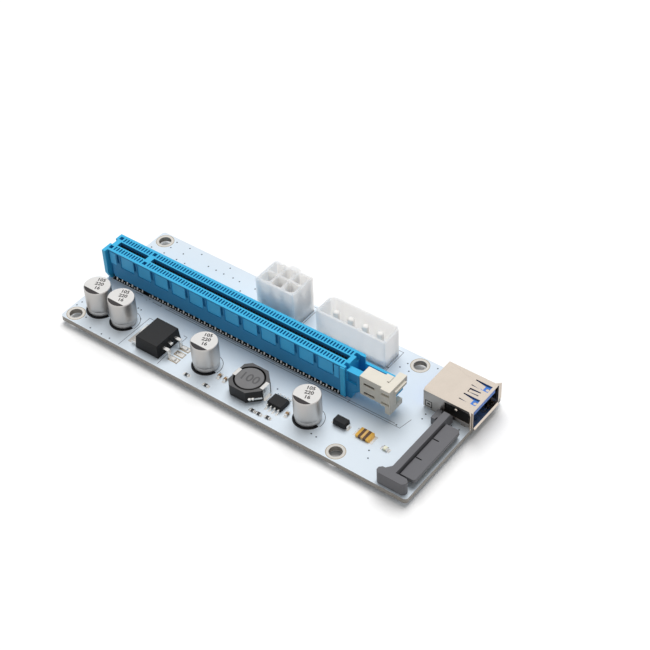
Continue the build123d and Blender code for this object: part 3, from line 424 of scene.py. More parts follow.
# Each row: the colour, the roughness and the bump in millimetres, then what else the finish has.
finishes = {
    # the slot and its latch
    "slotBluePlastic": ((0.048, 0.45, 0.75), 0.34, 0.005, {"specular": 0.25}),
    # slotBlueShadedWall is the slot's blue darkened with painted shade, slotBlueLitBay the same blue
    # lightened with painted light
    "slotBlueShadedWall": ((0.03, 0.25, 0.5), 0.5, 0.012, {"specular": 0.25}),
    "slotBlueLitBay": ((0.058, 0.48, 0.85), 0.42, 0.008, {"specular": 0.3}),
    # springGoldInShade: gold darkened with painted shade for the contacts inside the slot's groove
    "springGoldInShade": ((0.1, 0.075, 0.035), 0.5, 0.004, {"metallic": 0.8}),
    "latchIvoryPlastic": (
        (0.77, 0.73, 0.64), 0.42, 0.006, {"subsurface": 0.12, "subsurfaceScale": 0.0006},
    ),
    "latchWindowShade": ((0.075, 0.06, 0.045), 0.6, 0.01, {"specular": 0.2}),
    # the headers and the other connectors
    "headerMilkyPlastic": (
        (0.993, 0.993, 0.985), 0.45, 0.006,
        {"shade": 0.003, "subsurface": 1.0, "subsurfaceScale": 0.012, "ior": 1.58, "specular": 0.8},
    ),
    "driveGreyPlastic": ((0.15, 0.15, 0.16), 0.5, 0.008, {"grain": 6000.0, "specular": 0.25}),
    "portNickel": ((0.74, 0.655, 0.57), 0.24, 0.003, {"metallic": 1.0, "drawn": (300.0, 7000.0, 7000.0)}),
    # the shell's side walls: nickel darkened with painted shade
    "portWallShadedNickel": (
        (0.4, 0.365, 0.335), 0.3, 0.004, {"metallic": 1.0, "drawn": (300.0, 7000.0, 7000.0)},
    ),
    "portBluePlastic": ((0.055, 0.2, 0.64), 0.36, 0.02),
    # the parts on the board
    "mouldedBlack": ((0.024, 0.024, 0.025), 0.46, 0.01, {"grain": 12000.0, "specular": 0.2}),
    "ferriteGrey": ((0.105, 0.103, 0.104), 0.5, 0.02, {"grain": 7000.0, "shade": 0.18, "specular": 0.3}),
    "drumGrey": ((0.185, 0.182, 0.184), 0.5, 0.015, {"grain": 7000.0, "shade": 0.12, "specular": 0.3}),
    "canAluminium": ((0.58, 0.562, 0.545), 0.4, 0.004, {"metallic": 1.0, "drawn": (5000.0, 5000.0, 250.0)}),
    "canTopWhite": ((0.72, 0.71, 0.695), 0.4, 0.008, {"metallic": 0.2, "grain": 4000.0}),
    "canTopDark": ((0.04, 0.036, 0.037), 0.45, 0.006, {"specular": 0.25}),
    "resistorGlaze": ((0.03, 0.03, 0.03), 0.25, 0.004),
    "ceramicTan": ((0.3, 0.19, 0.1), 0.45, 0.01),
    "fuseBrown": ((0.1, 0.05, 0.026), 0.28, 0.004),
    "fuseGold": ((0.8, 0.47, 0.1), 0.32, 0.006, {"metallic": 0.85}),
    "lampResin": ((0.8, 0.8, 0.62), 0.15, 0.02, {"subsurface": 0.3, "subsurfaceScale": 0.0005}),
    # plating and solder
    "goldPlate": ((0.86, 0.64, 0.3), 0.25, 0.003, {"metallic": 1.0}),
    "tinPlate": ((0.76, 0.75, 0.73), 0.26, 0.008, {"metallic": 1.0, "grain": 5000.0}),
    "solderTin": ((0.8, 0.79, 0.77), 0.2, 0.03, {"metallic": 1.0, "grain": 2500.0}),
    # tailTin: tin made paler and partly diffuse, painted light for the glints of the slot's tails and the
    # four pins
    "tailTin": ((0.92, 0.91, 0.89), 0.35, 0.01, {"metallic": 0.6, "grain": 2500.0}),
    "ringTin": ((0.72, 0.695, 0.65), 0.34, 0.012, {"metallic": 1.0, "grain": 3500.0}),
    # the board and its print
    "boardMask": (
        (0.68, 0.755, 0.825), 0.3, 0.004,
        {"shade": 0.025, "mottle": 90.0, "coat": 0.3, "coatRoughness": 0.15},
    ),
    "traceMask": ((0.635, 0.72, 0.8), 0.3, 0.004, {"coat": 0.3, "coatRoughness": 0.15}),
    "padRimTan": ((0.36, 0.27, 0.15), 0.4, 0.01),
    # black print, and painted shade in the via holes
    "printAndHoleShadeBlack": ((0.012, 0.012, 0.015), 0.5, 0.01, {"specular": 0.2}),
    "silkGrey": ((0.16, 0.17, 0.2), 0.5, 0.01),
    # black glue and rubber, and painted shade on the plates, strips and marks that stand for dark gaps
    "blackPartsAndPaintedShade": ((0.006, 0.006, 0.006), 0.6, 0.02, {"specular": 0.2}),
}


def finishMaterial(name, colour, roughness, bumpHeight, given=None):
    # one finish: its colour mottled a little, its roughness wandering, and a fine bump
    finish = {**plainFinish, **(given or {})}
    material = bpy.data.materials.new(name)
    material.use_nodes = True
    tree = material.node_tree
    shader = tree.nodes["Principled BSDF"]
    for label, key in (
        ("Metallic", "metallic"), ("Specular IOR Level", "specular"), ("IOR", "ior"), ("Coat Weight", "coat"),
        ("Coat Roughness", "coatRoughness"), ("Subsurface Weight", "subsurface"),
        ("Subsurface Scale", "subsurfaceScale"), ("Subsurface Radius", "subsurfaceRadius"),
    ):
        shader.inputs[label].default_value = finish[key]
    grain = groupNode(tree, grainGroup, {
        "Scale": finish["grain"], "Mottle Scale": finish["mottle"], "Roughness": roughness,
    })
    dark = tuple(c * (1.0 - finish["shade"]) for c in colour)
    light = tuple(min(1.0, c * (1.0 + finish["shade"])) for c in colour)
    tree.links.new(mixColour(tree, grain.outputs["Mottle"], dark, light), shader.inputs["Base Color"])
    tree.links.new(grain.outputs["Roughness"], shader.inputs["Roughness"])
    relief = groupNode(tree, drawnGroup, {"Along": finish["drawn"]}) if finish["drawn"] else grain
    bump = tree.nodes.new("ShaderNodeBump")
    bump.inputs["Strength"].default_value = 1.0
    bump.inputs["Distance"].default_value = bumpHeight * mm
    tree.links.new(relief.outputs["Height"], bump.inputs["Height"])
    tree.links.new(bump.outputs["Normal"], shader.inputs["Normal"])
    return material


materials = {name: finishMaterial(name, *row) for name, row in finishes.items()}


def recolour(finishName, change):
    # change takes the tree and the present colour socket, and gives the new one
    tree = materials[finishName].node_tree
    colour = tree.nodes["Principled BSDF"].inputs["Base Color"]
    tree.links.new(change(tree, colour.links[0].from_socket), colour)


# Painted shade: the upright faces of these three are given a darker colour than what looks up or down.
shadedSideShare = 0.8
paintedSideShades = {
    "mouldedBlack": (0.007, 0.007, 0.008), "ferriteGrey": (0.01, 0.01, 0.011),
    "latchIvoryPlastic": (0.61, 0.585, 0.515),
}


def paintShadedSides(paintedSideShade):
    def change(tree, ownColour):
        return mixColour(tree, facesUp(tree, shadedSideShare), paintedSideShade, ownColour)

    return change


for finishName, paintedSideShade in paintedSideShades.items():
    recolour(finishName, paintShadedSides(paintedSideShade))

boardEdge = {
    "flatShare": 0.5, "layerScales": (400.0, 400.0, 9000.0), "layerDetail": 2.0,
    "dark": (0.19, 0.172, 0.15), "light": (0.42, 0.385, 0.34),
}
fuseBand = {"halfWidth": 0.36, "colour": (0.66, 0.4, 0.12)}
springTails = {"tinBelow": 1.9, "colour": (0.8, 0.8, 0.78)}


def laminateEdge(tree, maskColour):
    # pale mask on the board's two faces, and bare laminate in layers on its edges
    layers = pulledNoise(tree, boardEdge["layerScales"], boardEdge["layerDetail"])
    laminate = mixColour(tree, layers, boardEdge["dark"], boardEdge["light"])
    return mixColour(tree, facesUp(tree, boardEdge["flatShare"]), laminate, maskColour)


def goldBand(tree, brown):
    # dark brown with a gold band across the fuse's middle
    low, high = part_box("fuse_body")
    band = groupNode(tree, bandGroup, {
        "Middle": (low.x + high.x) / 2, "Half Width": fuseBand["halfWidth"] * mm,
    })
    return mixColour(tree, band.outputs["Mask"], brown, fuseBand["colour"])


def tinTailsAndShadedGold(tree, gold):
    # tin below the housing's floor, and higher up the gold, darkened with painted shade
    floor = float(boardCorner[2]) + springTails["tinBelow"] * mm
    below = mathNode(tree, "LESS_THAN", objectAxis(tree, "Z"), floor)
    return mixColour(tree, below, gold, springTails["colour"])


recolour("boardMask", laminateEdge)
recolour("fuseBrown", goldBand)
recolour("springGoldInShade", tinTailsAndShadedGold)

# Solids that are shown as they are.
plainNodes = {
    "circuit_board": "boardMask", "regulator_pads": "solderTin", "data_port_contacts": "goldPlate",
    "data_port_pins": "tinPlate", "drive_power_contacts": "goldPlate", "capacitor_leads": "tinPlate",
}
for nodeName, finishName in plainNodes.items():
    nodes[nodeName].data.materials.clear()
    nodes[nodeName].data.materials.append(materials[finishName])
print("stage: finishes made")


portSprings = {
    "near": 30.3, "far": 43.5, "sheetLow": 6.4, "slack": 0.02,
    "bigTip": 122.2, "bigRoot": 117.0, "bigOffset": 3.05, "bigHalf": 1.0, "bigDrop": 1.25,
    "smallTip": 117.4, "smallRoot": 120.8, "smallHalf": 0.5, "smallDrop": 0.35, "shadedSideShare": 0.8,
}
portMiddle = (portSprings["near"] + portSprings["far"]) / 2


def bendPortSprings(points):
    # down by a spring's drop times the square of a point's share of the way from root to tip
    s = portSprings
    x, y, z = fromCorner(points)
    top = z > s["sheetLow"]
    away = np.abs(y - portMiddle)
    big = top & (np.abs(away - s["bigOffset"]) < s["bigHalf"]) & (x < s["bigTip"] + s["slack"])
    small = top & (away < s["smallHalf"]) & (x > s["smallTip"] - s["slack"])
    bigShare = np.clip((x - s["bigRoot"]) / (s["bigTip"] - s["bigRoot"]), 0, 1)
    smallShare = np.clip((s["smallRoot"] - x) / (s["smallRoot"] - s["smallTip"]), 0, 1)
    drop = np.where(big, s["bigDrop"] * bigShare ** 2, 0.0)
    drop = np.where(small, s["smallDrop"] * smallShare ** 2, drop)
    moved = points.copy()
    moved[:, 2] -= drop * mm
    return moved


tongueReach = {"from": 120.0, "forward": 1.15, "upperFrom": 6.0, "lift": 0.25}


def reachingTongue(points):
    # points past the start go forward to just behind the mouth, the upper ones also up
    x, z = fromCorner(points)[[0, 2]]
    moved = points.copy()
    tip = x > tongueReach["from"]
    moved[tip, 0] += tongueReach["forward"] * mm
    moved[tip & (z > tongueReach["upperFrom"]), 2] += tongueReach["lift"] * mm
    return moved


# Each row: the edges' width and segments, the finish, the record's slot, and for some of them the body, which
# is else the card, and what moves the points.
tin, black = ("tinPlate", "pin_tin"), ("mouldedBlack", "mould_black")
roundedSolids = {
    "slot_housing": (0.07, 2, "slotBluePlastic", "slot_blue"),
    "slot_latch": (0.09, 2, "latchIvoryPlastic", "latch_ivory", "latch"),
    "data_port_shell": (0.02, 2, "portNickel", "port_nickel", "card", bendPortSprings),
    "data_port_insulator": (0.08, 2, "portBluePlastic", "port_blue", "card", reachingTongue),
    "six_pin_header_housing": (0.16, 2, "headerMilkyPlastic", "header_milky"),
    "four_pin_header_housing": (0.22, 3, "headerMilkyPlastic", "header_milky"),
    "drive_power_housing": (0.15, 2, "driveGreyPlastic", "drive_grey"),
    "regulator_body": (0.16, 2, *black),
    "control_chip_body": (0.06, 2, *black),
    "diode_body": (0.12, 2, *black),
    "inductor_core": (0.1, 2, "ferriteGrey", "ferrite"),
    "inductor_drum": (0.15, 2, "drumGrey", "ferrite"),
    "inductor_terminals": (0.05, 2, *tin),
    "regulator_tab": (0.08, 2, *tin),
    "regulator_leads": (0.08, 2, *tin),
    "control_chip_leads": (0.03, 1, *tin),
    "diode_terminals": (0.04, 1, *tin),
    "fuse_terminals": (0.08, 2, "fuseGold", "fuse_gold"),
    "chip_resistor_ends": (0.05, 2, *tin),
    "chip_capacitor_ends": (0.06, 2, *tin),
    "chip_resistors": (0.03, 1, "resistorGlaze", "resistor_glaze"),
    "chip_capacitors": (0.06, 2, "ceramicTan", "ceramic_tan"),
    "indicator_lamp": (0.08, 2, "lampResin", "lamp_clear"),
    "indicator_terminals": (0.05, 2, *tin),
    "fuse_body": (0.05, 1, "fuseBrown", "fuse_gold"),
    "six_pin_header_pins": (0.12, 2, *tin),
}
for nodeName, row in roundedSolids.items():
    # the piece is named after its node, without the word header
    first, *others = [word for word in nodeName.split("_") if word != "header"]
    standIn(nodeName, first + "".join(word.title() for word in others), *row)

# Spans in x, y and z of the slot's faces that get painted shade or painted light, and how far a near face
# looks to the front.
slotWall = {
    "nearShare": 0.7, "leftEnd": 1.3, "wallDepth": (20.85, 20.95), "panelDepth": (21.1, 21.2),
    "shoulder": (88.0, 92.7), "pocketLength": (1.3, 88.0), "pocketDepth": (20.85, 21.6), "pocketTop": 10.7,
    "grooveLength": (1.5, 87.5), "grooveDepth": (22.45, 26.85), "grooveHeight": (1.6, 10.4),
}


def paintSlotWallShades():
    # wall, pockets and groove matt and darkened with painted shade, panels satin and lightened with painted
    # light: chosen by each face's middle and normal
    mesh = bpy.data.objects["slotHousing"].data
    mesh.materials.append(materials["slotBlueShadedWall"])
    mesh.materials.append(materials["slotBlueLitBay"])
    s = slotWall
    x, y, z = fromCorner(faceValues(mesh, "center"))
    near = faceValues(mesh, "normal")[:, 1] < -s["nearShare"]
    wall = near & (x > s["leftEnd"]) & (within(y, s["wallDepth"]) | within(x, s["shoulder"]))
    pocket = within(x, s["pocketLength"]) & within(y, s["pocketDepth"]) & (z < s["pocketTop"])
    groove = within(x, s["grooveLength"]) & within(y, s["grooveDepth"]) & within(z, s["grooveHeight"])
    panel = near & within(y, s["panelDepth"])
    mesh.polygons.foreach_set("material_index", np.where(panel, 2, np.where(wall | pocket | groove, 1, 0)))


def shadePortShellWalls():
    # the shell's side walls are duller than its top, and darkened with painted shade
    mesh = bpy.data.objects["dataPortShell"].data
    mesh.materials.append(materials["portWallShadedNickel"])
    wall = np.abs(faceValues(mesh, "normal")[:, 1]) > portSprings["shadedSideShare"]
    mesh.polygons.foreach_set("material_index", wall.astype(int))


paintSlotWallShades()
shadePortShellWalls()
print("stage: rounded solids made")


# Paths are y from the slot's middle and height above the board.
slotSprings = {
    "middle": 24.65, "first": 3.0, "before": 11, "after": 71, "keyStep": 3.0,
    "width": 0.42, "thickness": 0.16, "outerRow": 3.2, "innerRow": 1.1,
    "tip": -2.8, "bend": 0.7, "crank": (2.9, 1.1),
    "spring": [(1.12, 2.2), (1.12, 3.4), (1.02, 5.2), (0.8, 7.4), (0.5, 9.3), (0.46, 9.75), (0.66, 10.3)],
}


def contactRows():
    # x of the outer and the inner row: contacts take turns, and the inner row starts after the key
    before = slotSprings["first"] + np.arange(slotSprings["before"])
    after = before[-1] + slotSprings["keyStep"] + np.arange(slotSprings["after"])
    return np.concatenate([before[::2], after[1::2]]), np.concatenate([before[1::2], after[::2]])


def contactPlaces(xs, row):
    # the contacts of one row, on both sides of the groove
    return crossed(xs, [slotSprings["middle"] - row, slotSprings["middle"] + row])


def slotSpringPiece():
    # each contact's strip: up through the board, cranked in to the groove, bulged to the card, turned back
    s = slotSprings
    outer, inner = contactRows()
    outerFoot = [(s["outerRow"], s["tip"]), (s["outerRow"], s["bend"]), s["crank"]]
    innerFoot = [(s["innerRow"], s["tip"]), (s["innerRow"], s["bend"])]
    blocks = []
    for xs, foot in ((outer, outerFoot), (inner, innerFoot)):
        for side in (-1, 1):
            strip, faces = bentStrip(np.array(foot + s["spring"]) * (side, 1), s["thickness"], s["width"])
            blocks.append(repeatAt(strip, faces, crossed(xs, [s["middle"]])))
    return together(*blocks)


springs = addPiece("slotSprings", slotSpringPiece(), "springGoldInShade", sheetSmooth)
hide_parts("slot_contacts_near", "slot_contacts_far")

# Middles, steps and counts of the pins' rows, as the solids have them.
canPlaces = [(7.9, 8.9), (17.0, 9.0), (48.3, 8.8), (84.2, 8.8)]
pinRows = {
    "canLeads": 3.5, "sixX": (53.0, 4.2, 3), "sixY": (39.2, 5.5, 2), "fourX": (78.4, 5.08, 4), "fourY": 40.0,
    "portBack": (108.8, (36.9, 2.0, 5)), "portFront": (111.4, (36.9, 2.3, 4)),
    "legX": (110.2, 120.0), "legY": (30.475, 43.325),
    "driveX": (116.97, 116.13), "driveEdge": 0.25, "driveStep": 1.27, "driveCount": 15,
}
# Each step of the bell: its share of the pad's radius, its share of the pin's radius, and its depth.
solderBell = {
    "bell": [(1.0, 0.0, 0.0), (0.98, 0.0, 0.05), (0.5, 0.5, 0.22), (0.0, 1.15, 0.62), (0.0, 0.9, 0.75),
             (0.0, 0.0, 0.78)],
    "underside": -1.6, "capRise": 0.002, "sides": 10,
}
# The radius of the pad and of the pin, for each kind of pin.
pinRadii = {
    "contact": (0.46, 0.24), "can": (0.95, 0.36), "six": (1.35, 0.72), "four": (1.7, 0.9),
    "port": (0.75, 0.38), "leg": (1.3, 0.7), "drive": (0.52, 0.32),
}
fourPinPlaces = crossed(spaced(*pinRows["fourX"]), [pinRows["fourY"]])


def undersidePins():
    # the places where each kind of pin comes out under the board
    p = pinRows
    outer, inner = contactRows()
    count = np.arange(p["driveCount"])
    driveLow = fromCorner(np.array(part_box("drive_power_contacts")[0]))[1]
    driveY = driveLow + p["driveEdge"] + p["driveStep"] * count
    return [
        ("contact", contactPlaces(outer, slotSprings["outerRow"])),
        ("contact", contactPlaces(inner, slotSprings["innerRow"])),
        ("can", np.concatenate([crossed(spaced(x, p["canLeads"], 2), [y]) for x, y in canPlaces])),
        ("six", crossed(spaced(*p["sixX"]), spaced(*p["sixY"]))),
        ("four", fourPinPlaces),
        ("port", np.concatenate([crossed([x], spaced(*row)) for x, row in (p["portBack"], p["portFront"])])),
        ("leg", crossed(p["legX"], p["legY"])),
        ("drive", np.column_stack([np.array(p["driveX"])[count % 2], driveY])),
    ]


def solderCones():
    # each joint is a small bell turned about z: wide on its pad, drawn in to the pin
    low, sides = solderBell["underside"], solderBell["sides"]
    blocks = []
    for kind, places in undersidePins():
        pad, pin = pinRadii[kind]
        bell = lathe([(pad * a + pin * b, low - depth) for a, b, depth in solderBell["bell"]], sides)
        cap = lathe([(0.0, low + solderBell["capRise"]), (pad, low)], sides)
        blocks += [repeatAt(*bell, places), repeatAt(*cap, places)]
    return together(*blocks)


addPiece("solderCones", solderCones(), "solderTin", solderSmooth)

# Each row of fillets: how far out, radius and rise. The profile is in shares of the last two.
tailSolder = {
    "outer": (3.3, 0.3, 0.5), "between": (3.45, 0.24, 0.32),
    "profile": [(0.0, 0.0), (1.0, 0.0), (0.9, 0.25), (0.5, 0.8), (0.0, 1.0)], "sides": 8,
}


def tailFillets():
    # bright solder at the foot of each outer tail, and the next tail's pad between two of them
    blocks = []
    for xs, (row, radius, rise) in zip(contactRows(), (tailSolder["outer"], tailSolder["between"])):
        bell = lathe(np.array(tailSolder["profile"]) * (radius, rise), tailSolder["sides"])
        blocks.append(repeatAt(*bell, contactPlaces(xs, row)))
    return together(*blocks)


# the fillets take the paler tin of painted light
addPiece("tailFillets", tailFillets(), "tailTin", solderSmooth)

inductor = {
    "middle": (64.3, 8.5), "glueRing": [(4.12, 1.05), (4.58, 1.05), (4.58, 3.35), (4.35, 3.45), (4.12, 3.35)],
    "figures": {"text": "100", "size": 4.1, "height": 4.0, "turn": 6.0, "depth": 0.006, "heavier": 0.07},
    "beads": [(67.75, 3.95), (68.4, 4.6)],
    "arm": (68.6, 4.8, 70.1, 6.3), "armWidth": 0.34, "armHeights": (1.2, 1.8),
    "ringSides": 48, "beadSides": 14,
    "beadProfile": [(0.0, 1.05), (0.36, 1.12), (0.52, 1.42), (0.52, 1.75), (0.36, 2.05), (0.0, 2.13)],
}


def drumRing():
    # dark glue between the drum and the core: its section turned about z
    return repeatAt(*lathe(inductor["glueRing"], inductor["ringSides"], closed=True), [inductor["middle"]])


def coilEndPiece():
    # the coil's tinned end: two beads turned about z, and an arm to the terminal
    beads = repeatAt(*lathe(inductor["beadProfile"], inductor["beadSides"]), inductor["beads"])
    return together(beads, ribbons([inductor["arm"]], inductor["armWidth"], *inductor["armHeights"]))


addPiece("drumGlueRing", drumRing(), "blackPartsAndPaintedShade", sheetSmooth)
plainFigures("drumFigures", inductor["figures"], inductor["middle"], "ferriteGrey")
addPiece("coilEnd", coilEndPiece(), "solderTin", turnedSmooth)
print("stage: slot springs, solder joints and inductor made")


canShape = {
    "profile": [(0.0, 0.1), (3.42, 0.1), (3.62, 0.14), (3.72, 0.28), (3.75, 0.55), (3.7, 1.1),
                (3.64, 1.55), (3.63, 1.72), (3.69, 1.84), (3.84, 1.95), (3.95, 2.08), (4.0, 2.3),
                (4.0, 3.2), (4.0, 5.2), (4.0, 7.2), (4.0, 8.8), (3.985, 8.95), (3.94, 9.06),
                (3.88, 9.13), (3.8, 9.165), (3.6, 9.165), (0.0, 9.165)],
    "foot": [(0.0, 0.0), (3.3, 0.0), (3.36, 0.05), (3.36, 0.12), (0.0, 0.12)],
    "topRadius": 3.8, "topLow": 9.1, "topHigh": 9.185, "chord": 2.3, "figuresAt": (0.15, 0.75),
    "sides": 56, "footSides": 40, "nearSteps": 24, "farSteps": 48,
    "figures": {"text": "105\n220\n16", "size": 1.75, "height": 9.19, "turn": 20.0,
                "depth": 0.004, "heavier": 0.05},
}


def canTops(nearPart):
    # a disc cut by a chord along x: its rim (r cos t, r sin t), and both faces as fans
    radius = canShape["topRadius"]
    half = math.acos(canShape["chord"] / radius)
    start, end, count = -half, half, canShape["nearSteps"]
    if not nearPart:
        start, end, count = half, 2 * math.pi - half, canShape["farSteps"]
    turn = np.linspace(start, end, count) - math.pi / 2
    rim = np.stack([np.cos(turn) * radius, np.sin(turn) * radius], -1)
    ring = np.concatenate([rim, [rim.mean(0)]])
    levels = canShape["topLow"], canShape["topHigh"]
    points = np.concatenate([np.column_stack([ring, np.full(count + 1, level)]) for level in levels])
    i = np.arange(count)
    j = (i + 1) % count
    above = count + 1
    walls = np.stack([i, j, j + above, i + above], -1)
    fans = np.concatenate([np.stack([i + above, j + above, np.full(count, count + above)], -1),
                           np.stack([j, i, np.full(count, count)], -1)])
    return together(repeatAt(points, walls, canPlaces), repeatAt(points, fans, canPlaces))


# Cans and their black feet are profiles turned about z; a foot is the rubber bung and painted shadow under
# the can's rim. The near part of each top is dark, the rest pale.
canBodies = repeatAt(*lathe(canShape["profile"], canShape["sides"]), canPlaces)
cans = addPiece("canBodies", canBodies, "canAluminium", turnedSmooth)
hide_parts("capacitor_cans")
addPiece("canTopDiscs", canTops(False), "canTopWhite")
addPiece("canTopSegments", canTops(True), "canTopDark")
for number, place in enumerate(canPlaces):
    centre = np.add(place, canShape["figuresAt"])
    plainFigures("canFigures" + str(number), canShape["figures"], centre, "canTopDark")
canFeet = repeatAt(*lathe(canShape["foot"], canShape["footSides"]), canPlaces)
addPiece("canFeet", canFeet, "blackPartsAndPaintedShade", sheetSmooth)

fourPin = {
    "shank": [(0.0, 2.2), (1.05, 2.2), (1.05, 7.7), (1.02, 8.0), (0.9, 8.35), (0.66, 8.62), (0.34, 8.76),
              (0.0, 8.8)],
    "tail": [(0.0, -2.8), (0.5, -2.8), (0.65, -2.6), (0.65, 2.25), (0.0, 2.25)],
    "shankSides": 32, "tailSides": 16,
}


def fourPinPieces():
    # round pins with a domed tip and a thinner tail: two profiles turned about z
    shank = lathe(fourPin["shank"], fourPin["shankSides"])
    tail = lathe(fourPin["tail"], fourPin["tailSides"])
    return together(repeatAt(*shank, fourPinPlaces), repeatAt(*tail, fourPinPlaces))


pins = addPiece("fourPinPins", fourPinPieces(), "tailTin", turnedSmooth)
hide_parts("four_pin_header_pins")
print("stage: cans and pins made")


mountingHoles = {
    "places": [(3.2, 3.2), (97.6, 3.2), (3.2, 42.8), (97.6, 42.8)], "holeRadius": 1.9, "ringRadius": 2.66,
    "slope": 0.03, "faces": ((0.0, 0.03), (-1.63, -1.6)),
    "rimWidth": 0.16, "rimSlope": 0.02, "rimHeight": 0.012, "sides": 48,
}


def holeRings():
    # a flat ring on each face round every mounting hole: its section turned about z
    m = mountingHoles
    inner, outer, slope = m["holeRadius"], m["ringRadius"], m["slope"]
    blocks = []
    for low, high in m["faces"]:
        section = [(inner, low), (outer, low), (outer - slope, high), (inner + slope, high)]
        blocks.append(repeatAt(*lathe(section, m["sides"], closed=True), m["places"]))
    return together(*blocks)


def ringRims():
    # the thin tan rim round each upper ring: its section turned about z
    m = mountingHoles
    inner, outer, high = m["ringRadius"], m["ringRadius"] + m["rimWidth"], m["rimHeight"]
    section = [(inner, 0.0), (outer, 0.0), (outer - m["rimSlope"], high), (inner, high)]
    return repeatAt(*lathe(section, m["sides"], closed=True), m["places"])


addPiece("holeRings", holeRings(), "ringTin", sheetSmooth)
addPiece("ringRims", ringRims(), "padRimTan", sheetSmooth)

viaMarks = {
    "ring": [(0.0, 0.0), (0.34, 0.0), (0.32, 0.012), (0.0, 0.012)],
    "hole": [(0.0, 0.012), (0.23, 0.012), (0.23, 0.018), (0.0, 0.018)],
    "sides": 12,
    "vias": [
        (0.9, 6.0), (1.3, 7.8), (6.8, 3.6), (10.9, 1.0), (15.3, 0.95), (18.4, 0.95), (16.7, 15.3),
        (17.9, 15.2), (20.4, 12.2), (1.6, 38.3), (6.6, 41.5), (6.6, 38.4), (11.7, 41.4), (11.7, 38.25),
        (6.6, 44.4), (14.9, 38.3), (11.7, 44.5), (16.5, 44.4), (21.7, 41.3), (24.7, 41.3), (27.7, 41.3),
        (27.6, 44.4), (31.1, 41.5), (33.7, 41.3), (102.3, 44.6), (94.3, 41.5), (96.3, 39.1), (90.7, 37.0),
        (93.3, 39.1), (41.2, 13.4), (43.0, 13.4), (58.6, 14.2), (60.0, 14.9), (70.6, 12.6), (88.4, 4.6),
        (90.2, 4.4), (104.6, 8.6), (106.0, 6.2), (105.2, 20.4), (109.6, 26.2), (99.2, 24.8), (36.5, 38.2),
        (39.6, 41.4), (61.5, 31.4), (93.4, 31.0),
    ],
    "dots": [(120.0, 28.6), (117.4, 28.7), (114.6, 28.6), (111.9, 28.4), (109.4, 28.2)],
}
# Each via is a low disc with a dark one on it, both turned about z; the dark disc is painted shade where the
# hole is. The dots have no ring.
viaRings = repeatAt(*lathe(viaMarks["ring"], viaMarks["sides"]), viaMarks["vias"])
viaHoles = repeatAt(*lathe(viaMarks["hole"], viaMarks["sides"]), viaMarks["vias"] + viaMarks["dots"])
addPiece("viaRings", viaRings, "traceMask")
addPiece("viaHoles", viaHoles, "printAndHoleShadeBlack")

# Lines are segments, frames are opposite corners, and arcs are two radii and two angles.
boardPrint = {
    "height": 0.014, "lineWidth": 0.16,
    "lines": [(23.6, 19.6, 106.6, 19.9), (24.4, 20.3, 104.5, 20.6), (106.6, 19.9, 107.4, 24.2),
              (89.4, 19.7, 89.4, 20.8), (22.4, 14.0, 22.2, 0.6), (22.4, 14.0, 24.6, 14.0),
              (36.6, 1.1, 36.4, 6.0), (35.4, 14.0, 36.6, 14.0), (36.6, 12.0, 36.6, 14.0),
              (18.5, 19.7, 21.7, 19.6), (21.7, 19.6, 21.5, 20.3), (11.4, 20.2, 14.1, 20.1),
              (16.2, 19.3, 16.5, 19.3), (16.8, 20.1, 17.1, 20.1)],
    "frames": [(45.6, 34.0, 60.3, 45.2), (65.6, 35.5, 90.9, 44.4)],
    "canArcs": [(3.2, 4.45, 182, 346), (4.55, 4.7, -12, 178)],
}


def silkLines():
    # the bare lines, and the frames of the two headers
    frames = [side for corners in boardPrint["frames"] for side in outline(*corners)]
    return ribbons(boardPrint["lines"] + frames, boardPrint["lineWidth"], 0.0, boardPrint["height"])


def silkArcs():
    # the crescent at each can's near side, and a thin line round the rest
    high, arcs = boardPrint["height"], boardPrint["canArcs"]
    return together(*[arcBand(can, *arc, high) for can in canPlaces for arc in arcs])


addPiece("silkLines", silkLines(), "silkGrey")
addPiece("silkArcs", silkArcs(), "printAndHoleShadeBlack")

# Single pads are middle x, middle y, length along x and length along y.
pads = {
    "single": [(24.2, 7.5, 1.5, 8.6), (90.7, 11.9, 0.9, 1.9), (95.5, 11.9, 0.9, 1.9), (98.1, 12.2, 1.0, 3.0),
               (103.4, 12.2, 1.2, 3.1), (59.2, 8.5, 1.0, 3.2), (70.3, 8.5, 1.0, 3.2), (106.9, 11.4, 0.7, 1.3),
               (109.1, 11.4, 0.7, 1.3)],
    "resistors": [(46.4, 2.3), (53.5, 2.2), (70.2, 2.1), (72.4, 2.1), (75.2, 2.4)],
    "ceramics": [(54.4, 7.2), (56.6, 7.0), (78.8, 6.4)],
    "reach": 0.95, "length": 0.6, "breadth": 1.0,
    "chipX": (74.5, 1.27, 4), "chipY": (4.75, 11.25), "chipPad": (0.6, 0.9),
    "height": 0.06, "softRim": 0.04,
}
padRims = {"x": (37.9, 41.0), "middles": (4.96, 7.5, 10.04), "half": 0.85, "lineWidth": 0.24, "height": 0.016}


def solderPads():
    # each pad is its rectangle made into a low box
    places = list(pads["single"])
    for side in (-pads["reach"], pads["reach"]):
        places += [(x + side, y, pads["length"], pads["breadth"]) for x, y in pads["resistors"]]
        places += [(x, y + side, pads["breadth"], pads["length"]) for x, y in pads["ceramics"]]
    places += [(x, y, *pads["chipPad"]) for x, y in crossed(spaced(*pads["chipX"]), pads["chipY"])]
    places = np.array(places)
    corner = np.array([(-1, -1), (1, -1), (1, 1), (-1, 1)]) / 2
    return risen(places[:, None, :2] + corner[None] * places[:, None, 2:], 0.0, pads["height"])


def regulatorPadRims():
    # bare laminate showing round the regulator's pads
    (left, right), half = padRims["x"], padRims["half"]
    sides = [side for y in padRims["middles"] for side in outline(left, y - half, right, y + half)]
    return ribbons(sides, padRims["lineWidth"], 0.0, padRims["height"])


